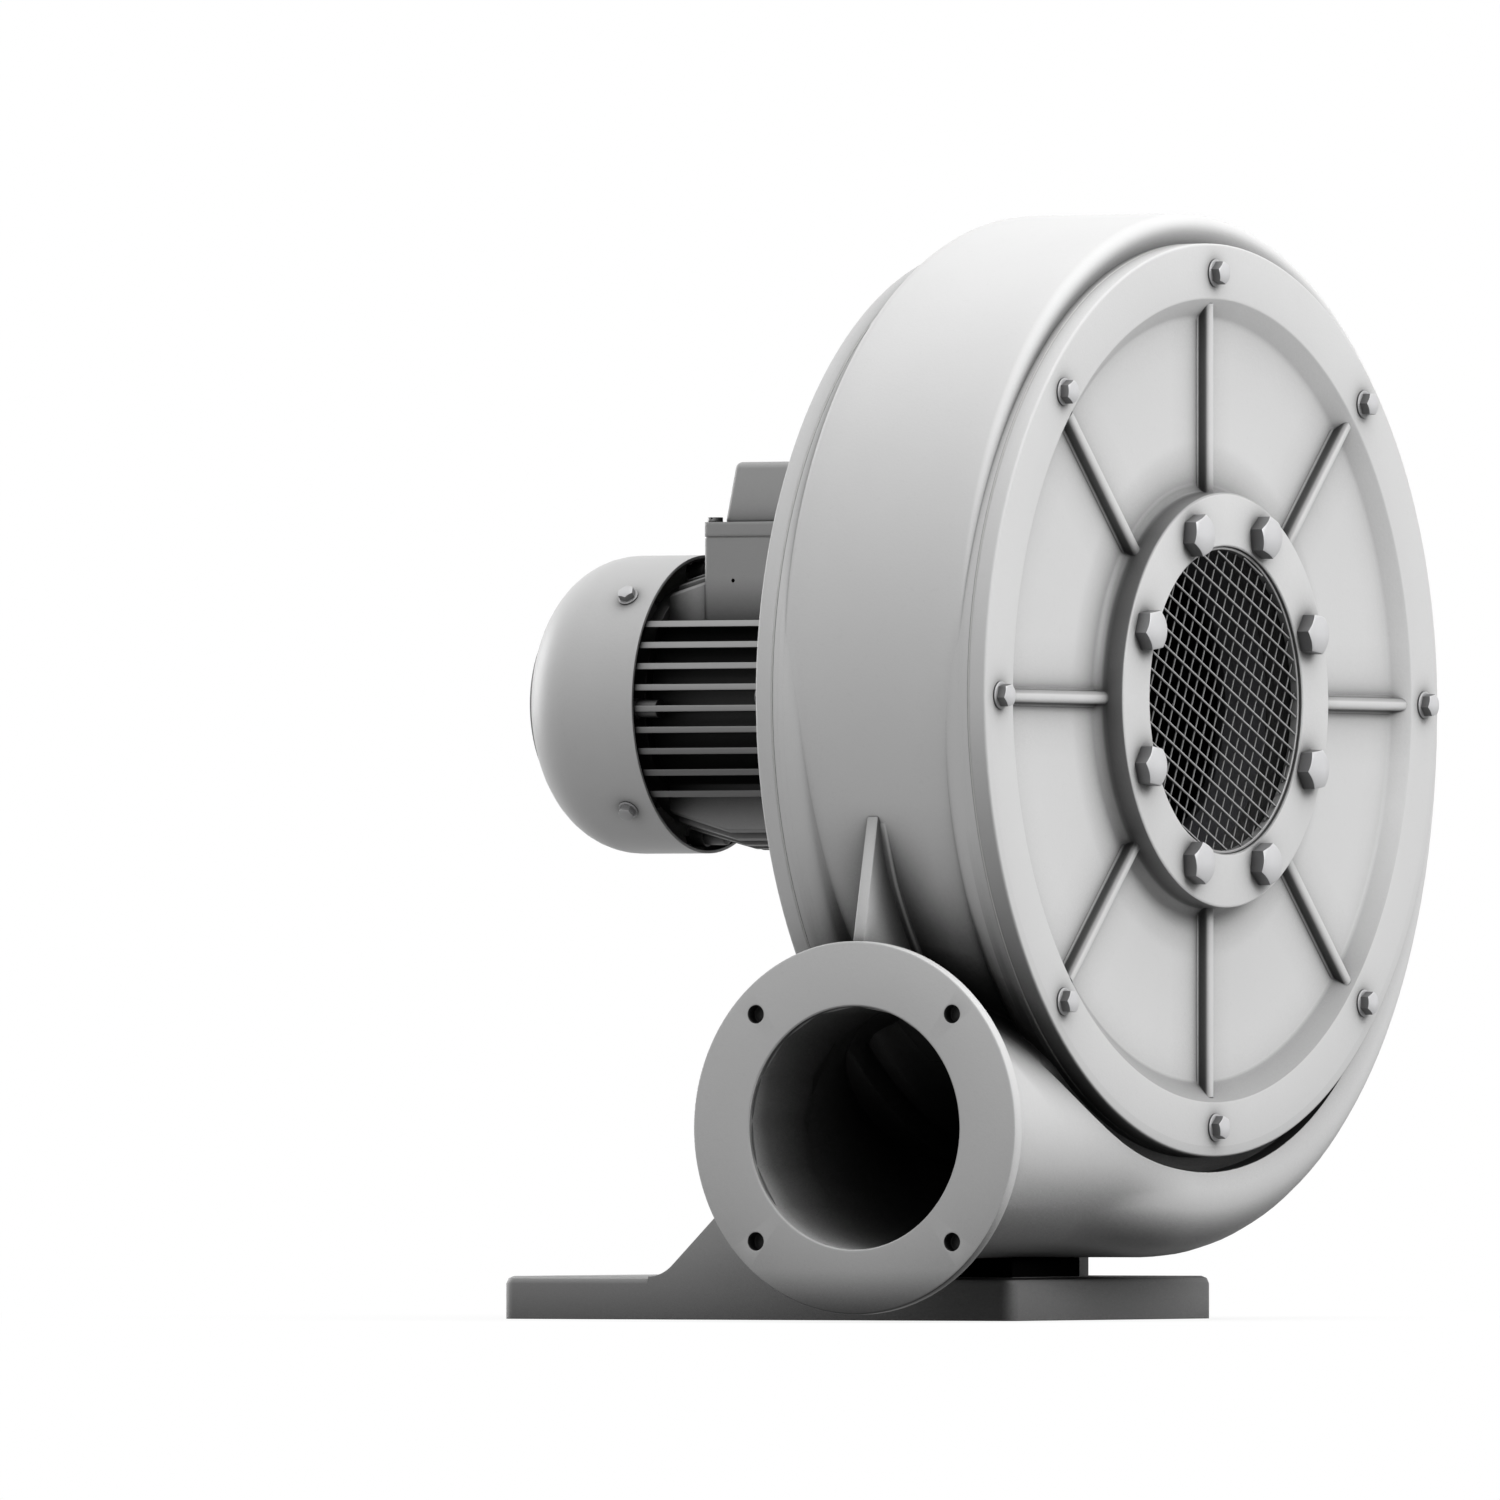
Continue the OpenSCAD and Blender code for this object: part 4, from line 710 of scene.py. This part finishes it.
def quarter_rows(side, height, reach, first, last, corners, steps, pocket=None, rear=None, bulge=0.0):
    """Rows of points of one quarter; side and height place its centre."""
    rows = []
    for i in range(steps + 1):
        a = math.radians(first + (last - first) * i / steps)
        out = (math.cos(a), math.sin(a))
        lean = side * out[0] + height * out[1]
        away = side * side + height * height
        def from_centre(radius):
            return -lean + math.sqrt(lean * lean + radius ** 2 - away)
        share = i / steps
        corner = corners[0] + (corners[1] - corners[0]) * share
        rear_corner = rear and rear[0] + (rear[1] - rear[0]) * share
        section = scroll_section(reach, corner, from_centre(OPENING + 0.5), pocket and from_centre(pocket),
                                 rear_corner, bulge * share * share * (3 - 2 * share))
        rows.append([(x, side + r * out[0], height + r * out[1]) for x, r in section])
    return rows


def upper_rows():
    """From the left-hand side over the top to the right-hand side."""
    tight, first, last = (TIGHT, TIGHT), (TIGHT, TOP_CORNER), (TOP_CORNER, CORNER)
    rows = quarter_rows(-SHIFT, SHIFT, QUARTERS[0], 240, 180, tight, 24, rear=(REAR_CORNER, REAR_CORNER))
    rows += quarter_rows(SHIFT, SHIFT, QUARTERS[1], 180, 90, first, 36, rear=(REAR_CORNER, CORNER))[1:]
    return rows + quarter_rows(SHIFT, -SHIFT, QUARTERS[2], 90, 0, last, 36, rear=(CORNER, CORNER))[1:]


def lower_rows():
    """From the right-hand side under the shaft and out to the flange, swelling into the round duct."""
    reach, corners = QUARTERS[3], (CORNER, RUN_CORNER)
    rows = quarter_rows(-SHIFT, -SHIFT, reach, 0, -90, corners, 36, POCKET, bulge=BULGE)
    stops = spaced(-SHIFT, -SHIFT - BLEND_LENGTH, 25)[1:]
    stops += spaced(-SHIFT - BLEND_LENGTH, OUTLET_FACE + 4, 40)[1:]
    for across in stops:
        share = min(1.0, (-SHIFT - across) / BLEND_LENGTH)
        ease = share * share * (3 - 2 * share)
        square = scroll_section(reach, RUN_CORNER, height_at(OPENING + 0.5, across) - SHIFT,
                                height_at(POCKET, across) - SHIFT, bulge=BULGE)
        row = []
        for (x0, r0), (x1, r1) in zip(square, duct_section(across)):
            row.append((x0 + (x1 - x0) * ease, across, -SHIFT - (r0 + (r1 - r0) * ease)))
        for places in (range(INNER_POINTS), range(-INNER_POINTS, 0)):
            for i in places:
                x, y, z = row[i]
                row[i] = (min(FRONT_PLANE, max(REAR_PLANE, x)), y, z)
        rows.append(row)
    return rows


def scroll_skin(rows):
    """A wall of even thickness on the rows of points, their side towards the air on the outside."""
    skin = added("skin", bpy.ops.mesh.primitive_grid_add, x_subdivisions=len(rows[0]) - 1,
                 y_subdivisions=len(rows) - 1, size=1)
    flat = [ON_SHAFT + Vector(point) * MM for row in rows for point in row]
    for vertex, place in zip(skin.data.vertices, flat):
        vertex.co = place
    tidy_mesh(skin, 1e-6)
    walls = [face for face in skin.data.polygons if abs(face.normal.x) < 0.1]
    outward = sum(face.normal.dot(Vector((0, *(face.center - ON_SHAFT).yz))) for face in walls)
    if outward < 0:
        skin.data.flip_normals()
    finish_with(skin, "SOLIDIFY", thickness=WALL * MM, offset=-1.0, use_rim=True)
    return skin


def weld(skin):
    """Removes the end faces where the two lengths of the scroll meet, and merges them."""
    seam = (SHAFT_MM - SHIFT) * MM
    pick_parts(skin, "FACE", lambda places: all(abs(place.z - seam) < 1e-5 and place.y > 0.2
                                                for place in places))
    bpy.ops.mesh.delete(type="FACE")
    bpy.ops.mesh.select_all(action="SELECT")
    bpy.ops.mesh.remove_doubles(threshold=2e-5)
    bpy.ops.object.mode_set(mode="OBJECT")
    return skin


def seat_rings():
    """Seats for the covers' gaskets, with paint over each gasket's joint, and the ledges beside them."""
    rings = []
    for face, sign in ((FRONT_PLANE + SEAT, 1), (REAR_PLANE - SEAT, -1)):
        back = face - sign * (SEAT + WALL)
        outline = [(back, OPENING), (back, COVER_EDGE - 2), (face - sign * SEAT, COVER_EDGE)]
        outline += [(face - sign * 0.4, COVER_EDGE), (face, COVER_EDGE - 0.4), (face, OPENING)]
        rings.append(turned("seat_ring", outline, steps=192))
        start, joint = face - sign * 0.6, face + sign * (GASKET + 0.2)
        outline = [(start, COVER_EDGE - 1.5), (start, COVER_EDGE - 0.2)]
        outline += [(joint, COVER_EDGE - 0.2), (joint, COVER_EDGE - 1.5)]
        rings.append(turned("joint_paint", outline, steps=192))
    low = 277.0
    slope = [(-1, low)]
    slope += [(along, COVER_EDGE - drop) for along, drop in (
        (-1, 0.4), (2, 0.8), (8, 1.6), (13, 2.8), (16, 4.6), (19.5, 9.0), (25, 14.5), (31, 18.3))]
    slope += [(36, low)]
    for name, plane, sign in (("front_ledge", FRONT_PLANE, -1), ("rear_ledge", REAR_PLANE, 1)):
        rings.append(turned(name, [(plane + sign * along, radius) for along, radius in slope], steps=192))
    return rings


def outlet_flange():
    """The flange, its holes blind in front of a tapped boss each."""
    bore = DUCT - WALL
    front, back, edge = OUTLET_FACE, FLANGE_BACK, FLANGE_EDGE
    outline = [(front, bore + 0.8), (front, edge - 1.3), (front + 0.4, edge - 0.4), (front + 1.3, edge)]
    outline += [(back - 1.3, edge), (back - 0.4, edge - 0.4), (back, edge - 1.3)]
    outline += [(back, DUCT + 4.5), (back + 1.0, DUCT + 1.9), (back + 2.3, DUCT + 0.7), (back + 5, DUCT)]
    outline += [(back + 5, bore), (front + 0.8, bore)]
    centre = Vector((DUCT_X, 0, DUCT_Z)) * MM
    flange = turned("outlet_flange", outline, centre, ALONG_Y, ALONG_X, steps=160)
    bosses = []
    for i in (-1, 1):
        for j in (-1, 1):
            x, z = DUCT_X + i * FLANGE_HOLE, DUCT_Z + j * FLANGE_HOLE
            combine(flange, rod("hole", (x, front - 5, z), (x, back + 5, z), 6, 40), "DIFFERENCE")
            boss = rod("tapped_boss", (x, back - 0.8, z), (x, back + 8, z), 10.5, 32)
            round_edges(boss, 1.5)
            bosses.append(boss)
    return bosses + [flange]


def outlet_ribs():
    """The rib from the flange up to the scroll, and the raised strip where it meets the scroll."""
    def wall(drop):
        return -SHIFT - math.sqrt(QUARTERS[0] ** 2 - (drop - SHIFT) ** 2)
    top = wall(-78.6)
    corners = [(FLANGE_BACK - 1, -DUCT_DROP + 117), (top - 0.9, -77.0), (top + 16, -89.6)]
    corners += [(top + 74, -DUCT_DROP + DUCT - 2), (FLANGE_BACK - 1, -DUCT_DROP + DUCT - 4)]
    rib = plate("outlet_rib", corners, DUCT_X - 6.25, DUCT_X + 2.25)
    round_edges(rib, 1.2)
    curve = [(wall(drop), drop) for drop in spaced(-80.0, -190.0, 12)]
    corners = [(across - 3.5 * min(1.0, i / 4), up - 1) for i, (across, up) in enumerate(curve)]
    corners += [(across + 4, up) for across, up in reversed(curve)]
    root = plate("rib_root", corners, DUCT_X - 6, DUCT_X + 7)
    round_edges(root, 2.8, 4)
    return [rib, root]


def volute_casing():
    parts = [weld(join("skin", [scroll_skin(upper_rows()), scroll_skin(lower_rows())]))]
    parts += seat_rings() + outlet_flange() + outlet_ribs()
    casing = join("volute_casing_cast", parts)
    hand_over(casing, "casing_paint", "casing", "volute_casing", smooth=30)


def cover_outline(bore, hub_height):
    """Rim, dished recess and hub; distances are from the rim's face, away from the casing."""
    outline = [(-18.4, bore), (-18.4, SPIGOT), (-12, SPIGOT), (-12, COVER_EDGE), (-1.6, COVER_EDGE)]
    outline += arc(-1.6, COVER_EDGE - 1.6, 1.6, 90, 0, 4)[1:]
    outline += arc(-1.4, RECESS_EDGE + 1.2, 1.4, 0, -42, 3)
    low = RECESS_EDGE - 1.1 * RECESS
    outline += [(-RECESS + 1.6, low + 1.6), (-RECESS + 0.5, low - 0.3), (-RECESS, low - 2.6)]
    outline += [(-RECESS, HUB + 7)] + arc(7 - RECESS, HUB + 7, 7, -180, -90, 6)[1:]
    outline += [(hub_height - 1.4, HUB)] + arc(hub_height - 1.4, HUB - 1.4, 1.4, 90, 0, 4)[1:]
    return outline + [(hub_height, bore + 0.8), (hub_height - 0.8, bore)]


def side_cover(name, node, face, way, bore, hub_height):
    """Turned cover with eight ribs; way is +1 towards the inlet."""
    outline = [(face + way * along, radius) for along, radius in cover_outline(bore, hub_height)]
    disc = turned(name, outline, steps=192)
    low, high = sorted((face + way * -RECESS - way * 2, face + way * -2.0))
    rib = block("rib", (low, 0, -4.25), (high, RIB_END - HUB + 3, 4.25))
    edge_x = (high if way > 0 else low) * MM
    pick_parts(rib, "EDGE", lambda ends: all(abs(end.x - edge_x) < 1e-6 for end in ends)
               and abs(ends[0].z - ends[1].z) < 1e-6)
    bpy.ops.mesh.bevel(offset=3.4 * MM, segments=5, affect="EDGES")
    bpy.ops.object.mode_set(mode="OBJECT")
    floor = face - way * RECESS
    foot = block("rib_foot", (floor - 1, 0, -6.2), (floor + 1, RIB_END - HUB + 1, 6.2))
    round_edges(foot, 1.9, 3)
    pattern = join("rib", [rib, foot])
    places = [Matrix.Translation(ON_SHAFT) @ Matrix.Rotation(math.radians(45 * i), 4, "X")
              @ Matrix.Translation((0, (HUB - 3) * MM, 0)) for i in range(8)]
    cover = join(name, [disc, copies("ribs", pattern, places)])
    hand_over(cover, "casing_paint", "casing", node, smooth=32, look=COVER_PAINT)


def bolt_heads(ring, pattern, places):
    hand_over(copies(ring + "_bolt_heads", pattern, places), "bolt_steel", "casing", ring + "_bolts")


def cover_bolts():
    """Both covers' rings and the inlet's; the rear ring leaves its lowest place to the foot's bolts."""
    bolt_heads("front_cover", flanged_bolt("bolt", 4), round_shaft(8, BOLT_CIRCLE, RIM_FACE, turn=12))
    places = round_shaft(8, BOLT_CIRCLE, REAR_RIM_FACE, turn=8, flip=True)
    bolt_heads("rear_cover", flanged_bolt("bolt", 4), places[:6] + places[7:])
    hexagon = chamfered_hexagon("bolt", 24, 10, 0.93)
    bolt_heads("inlet", hexagon, round_shaft(8, 115, 278, start=22.5, turn=30))


def rounded(name, node, finish, width, segments=2, smooth=35, angle=40, weighted=True):
    """A CAD node with its sharp edges broken."""
    piece = node_copy(name, node)
    round_edges(piece, width, segments, angle)
    hand_over(piece, finish, "casing", node, smooth=smooth)
    if weighted:
        finish_with(piece, "WEIGHTED_NORMAL", keep_sharp=True, weight=100)


def box_lid():
    """The lid with its raised middle, whose corners and top edges are well rounded."""
    lid = node_copy("terminal_box_lid_cast", "terminal_box_lid")
    round_edges(lid, 0.8)
    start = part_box("terminal_box_lid")[0].x / MM + LID_START
    combine(lid, block("above", (start - 60, -90, LID_FACE), (start + 160, 90, 600)), "DIFFERENCE")
    end = start + DOME_LENGTH
    dome = block("dome", (start, -DOME_HALF, DOME_BOTTOM), (end, DOME_HALF, DOME_TOP))
    for vertex in dome.data.vertices:
        if vertex.co.z > (DOME_TOP - 1) * MM:
            vertex.co.x += DOME_SLANT * MM * (1 if vertex.co.x < (start + end) / 2 * MM else -1)
            vertex.co.y += DOME_SLANT * MM * (1 if vertex.co.y < 0 else -1)
    round_edges(dome, 4.0, 5)
    combine(lid, dome, "UNION")
    tidy_mesh(lid)
    hand_over(lid, "motor_paint", "casing", "terminal_box_lid", look=LID_PAINT)
    finish_with(lid, "WEIGHTED_NORMAL", keep_sharp=True, weight=100)


def motor_bolts():
    places = []
    for angle in (45, 135, 225, 315):
        turn = math.radians(angle)
        across, up = COWL_BOLT_RADIUS * math.cos(turn), COWL_BOLT_RADIUS * math.sin(turn)
        spot = ON_SHAFT + Vector((COWL_BOLT_X, across, up)) * MM
        upright = Matrix.Rotation(turn - math.pi / 2, 4, "X")
        places.append(Matrix.Translation(spot) @ upright @ Matrix.Rotation(0.3, 4, "Z"))
    bolt_heads("fan_cowl", flanged_bolt("bolt", 3), places)
    hexagon = chamfered_hexagon("bolt", 18, 7.5)
    bolt_heads("motor_flange", hexagon, round_shaft(4, 107.5, 83.5, start=45, flip=True))
    bracket = [round_shaft(1, BOLT_CIRCLE, 87.5, start=angle, flip=True)[0] for angle in (-112.5, -90, -67.5)]
    bolt_heads("foot_bracket", flanged_bolt("bolt", 4), bracket)


def inlet_guard():
    """Two layers of straight wires inside a flat ring."""
    # The back layer takes a darker copy of the wire finish: painted shade where the front layer stands before it.
    layers = (("guard_wires_front", 274.3, -25, 0.7, None), ("guard_wires_back", 272.88, 65, 0.62, SHADED_BACK_WIRE))
    for name, along, degrees, radius, look in layers:
        turn = math.radians(degrees)
        lead = Vector((0, math.cos(turn), math.sin(turn)))
        step = Vector((0, -math.sin(turn), math.cos(turn)))
        wires = []
        for i in range(-9, 10):
            off = i * WIRE_PITCH
            half = math.sqrt((HOOP - 0.1) ** 2 - (abs(off) + 0.7) ** 2)
            middle = Vector((along, 0, SHAFT_MM)) + step * off
            wires.append(rod("wire", middle - lead * half, middle + lead * half, radius, 12))
        hand_over(join(name, wires), "guard_wire", "casing", "inlet_guard", look=look)
    outline = [(270.5, HOOP), (270.5, HOOP + 1.9), (275.2, HOOP + 1.9)]
    outline += [(275.5, HOOP + 1.6), (275.5, HOOP + 0.3), (275.2, HOOP)]
    ring = turned("guard_ring_flat", outline)
    hand_over(ring, "guard_wire", "casing", "inlet_guard_ring")


def add_saddle_shade():
    """Near-black sheet round the saddle between the foot and the outlet duct: painted shade for the deep shadow in
    the gap there.
    """
    low, high = SADDLE_LOW - SHAFT_MM, SADDLE_HIGH - SHAFT_MM
    corners = [(-123.4, low), (-35.7, low), (-35.7, high), (-123.4, high)]
    pad = plate("saddle_shade_sheet", corners, 141.6, 188.4)
    combine(pad, rod("duct", (DUCT_X, -200, DUCT_Z), (DUCT_X, 0, DUCT_Z), DUCT - 1.5, 96), "DIFFERENCE")
    round_edges(pad, 0.8)
    hand_over(pad, "seal_rubber", "casing", look=SADDLE_SHADE)


def dress_nodes():
    slots = {part["node"]: part["material_slot"] for part in frame["record"]["subparts"]}
    for name, node in nodes.items():
        node.data.materials.clear()
        node.data.materials.append(FINISHES[slots[name]])


GROUPS = {"crevice": crevice_group(), "edge": edge_group(), "grain": grain_group(),
          "streak": streak_group(), "facing": facing_group()}
CASING_GREY = (0.68, 0.68, 0.68)
COVER_GREY = (0.66, 0.66, 0.66)
MOTOR_GREY = (0.38, 0.38, 0.38)
FOOT_GREY = (0.41, 0.41, 0.41)
# Every painted and bare-metal finish paints shade into corners and cavities; the under, rim, outlet and recess
# amounts paint shade on those faces.
FINISHES = {
    "casing_paint": painted("casing_paint", CASING_GREY, 0.48, depth=2.4, radius=1.6, specular=0.15,
                            rim=0.8, under=0.5, lean=-0.45, outlet=0.16),
    "cowl_paint": painted("cowl_paint", (0.58, 0.58, 0.58), 0.42, reach=0.025, depth=2.4, cave=0.08,
                          specular=0.2),
    "motor_paint": painted("motor_paint", MOTOR_GREY, 0.5, reach=0.03, depth=2.4, radius=0.6, cave=0.07,
                           under=0.75, lean=0.25),
    "foot_paint": painted("foot_paint", FOOT_GREY, 0.55, reach=0.06, depth=1.4, radius=1.5, cave=0.22),
    "gasket": painted("gasket", (0.60, 0.60, 0.59), 0.7, reach=0.004, depth=1.0, radius=0.2, bumps=0.3),
    "seal_rubber": moulded("seal_rubber", (0.03, 0.03, 0.03), 0.55),
    "bolt_steel": bare_metal("bolt_steel", (0.62, 0.62, 0.63), 0.42, metal=0.1, reach=0.02, depth=2.6,
                             cave=0.05, recess=0.62),
    "lid_screw_steel": bare_metal("lid_screw_steel", (0.16, 0.16, 0.16), 0.4),
    "guard_wire": bare_metal("guard_wire", (0.42, 0.42, 0.42), 0.45, metal=0.2, reach=0.012, depth=1.0,
                             cave=0.02),
    "duct_steel": bare_metal("duct_steel", (0.12, 0.12, 0.13), 0.5, metal=0.3, cave=0.30),
    "core_steel": bare_metal("core_steel", (0.25, 0.26, 0.28), 0.45, streaks=900, length=1.0),
    "copper_winding": moulded("copper_winding", (0.45, 0.17, 0.06), 0.35, grain=500, bumps=0.5),
    "cast_aluminium": bare_metal("cast_aluminium", (0.30, 0.31, 0.32), 0.5, metal=0.5, length=1.0, cave=0.30),
    "impeller_sheet": bare_metal("impeller_sheet", (0.09, 0.09, 0.10), 0.5, metal=0.4, cave=0.30),
    "board_plastic": moulded("board_plastic", (0.14, 0.07, 0.03), 0.45),
    "brass": bare_metal("brass", (0.60, 0.42, 0.16), 0.3),
    "gland_plastic": moulded("gland_plastic", (0.06, 0.06, 0.06), 0.5),
    "fan_plastic": moulded("fan_plastic", (0.05, 0.05, 0.05), 0.55),
    "bearing_steel": bare_metal("bearing_steel", (0.62, 0.63, 0.65), 0.2),
    "shaft_steel": bare_metal("shaft_steel", (0.52, 0.52, 0.54), 0.28, length=1.0),
}

# Looks of pieces that differ a little from their slot's usual finish, mostly by painted shade and painted
# highlight
# The covers' paint, with painted shade on upward slopes, across the recesses and under the front rim.
COVER_PAINT = painted("cover_paint", COVER_GREY, 0.48, depth=2.4, radius=1.6, slope=0.50, recess=0.65,
                      rim=0.75, specular=0.15)
# The lid's paint: a lighter grey than the motor's with painted shade on its sides and undersides, so that its top
# shows lighter, and painted highlights on its rounded edges.
LID_PAINT = painted("lid_paint", (0.40, 0.40, 0.40), 0.5, reach=0.03, depth=1.6, radius=3.2, wear_and_highlight=0.8,
                    cave=0.07, under=0.75, lean=0.35, edge_tone=1.5)
# Near-black sheet of painted shade for the gap round the saddle.
SADDLE_SHADE = painted("saddle_painted_shade", (0.012, 0.012, 0.012), 0.9, specular=0.0, reach=0.03)
# Darker copy of the wire finish for the back layer of the guard: painted shade.
SHADED_BACK_WIRE = bare_metal("guard_wire_behind_shaded", (0.15, 0.15, 0.15), 0.5, metal=0.2, reach=0.012, depth=1.0,
                       cave=0.02)

add_camera()
add_studio()
add_floor()
dress_nodes()
volute_casing()
side_cover("front_cover_cast", "front_cover", RIM_FACE, 1, 100.0, 9.0)
side_cover("rear_cover_cast", "rear_cover", REAR_RIM_FACE, -1, 25.0, 1.0)
cover_bolts()
rounded("foot_cast", "foot", "foot_paint", 2.0, segments=3)
add_saddle_shade()
rounded("motor_housing_cast", "motor_housing", "motor_paint", 1.8, segments=3, weighted=False)
rounded("motor_flange_cast", "motor_flange", "motor_paint", 0.8)
rounded("terminal_box_cast", "terminal_box", "motor_paint", 0.6)
box_lid()
rounded("lid_screw_heads", "lid_screws", "lid_screw_steel", 0.3)
rounded("cable_gland_moulded", "cable_gland", "gland_plastic", 0.4)
rounded("gland_nut_moulded", "gland_nut", "gland_plastic", 0.4)
motor_bolts()
inlet_guard()
rounded("fan_cowl_spun", "fan_cowl", "cowl_paint", 0.5, smooth=40, angle=50)
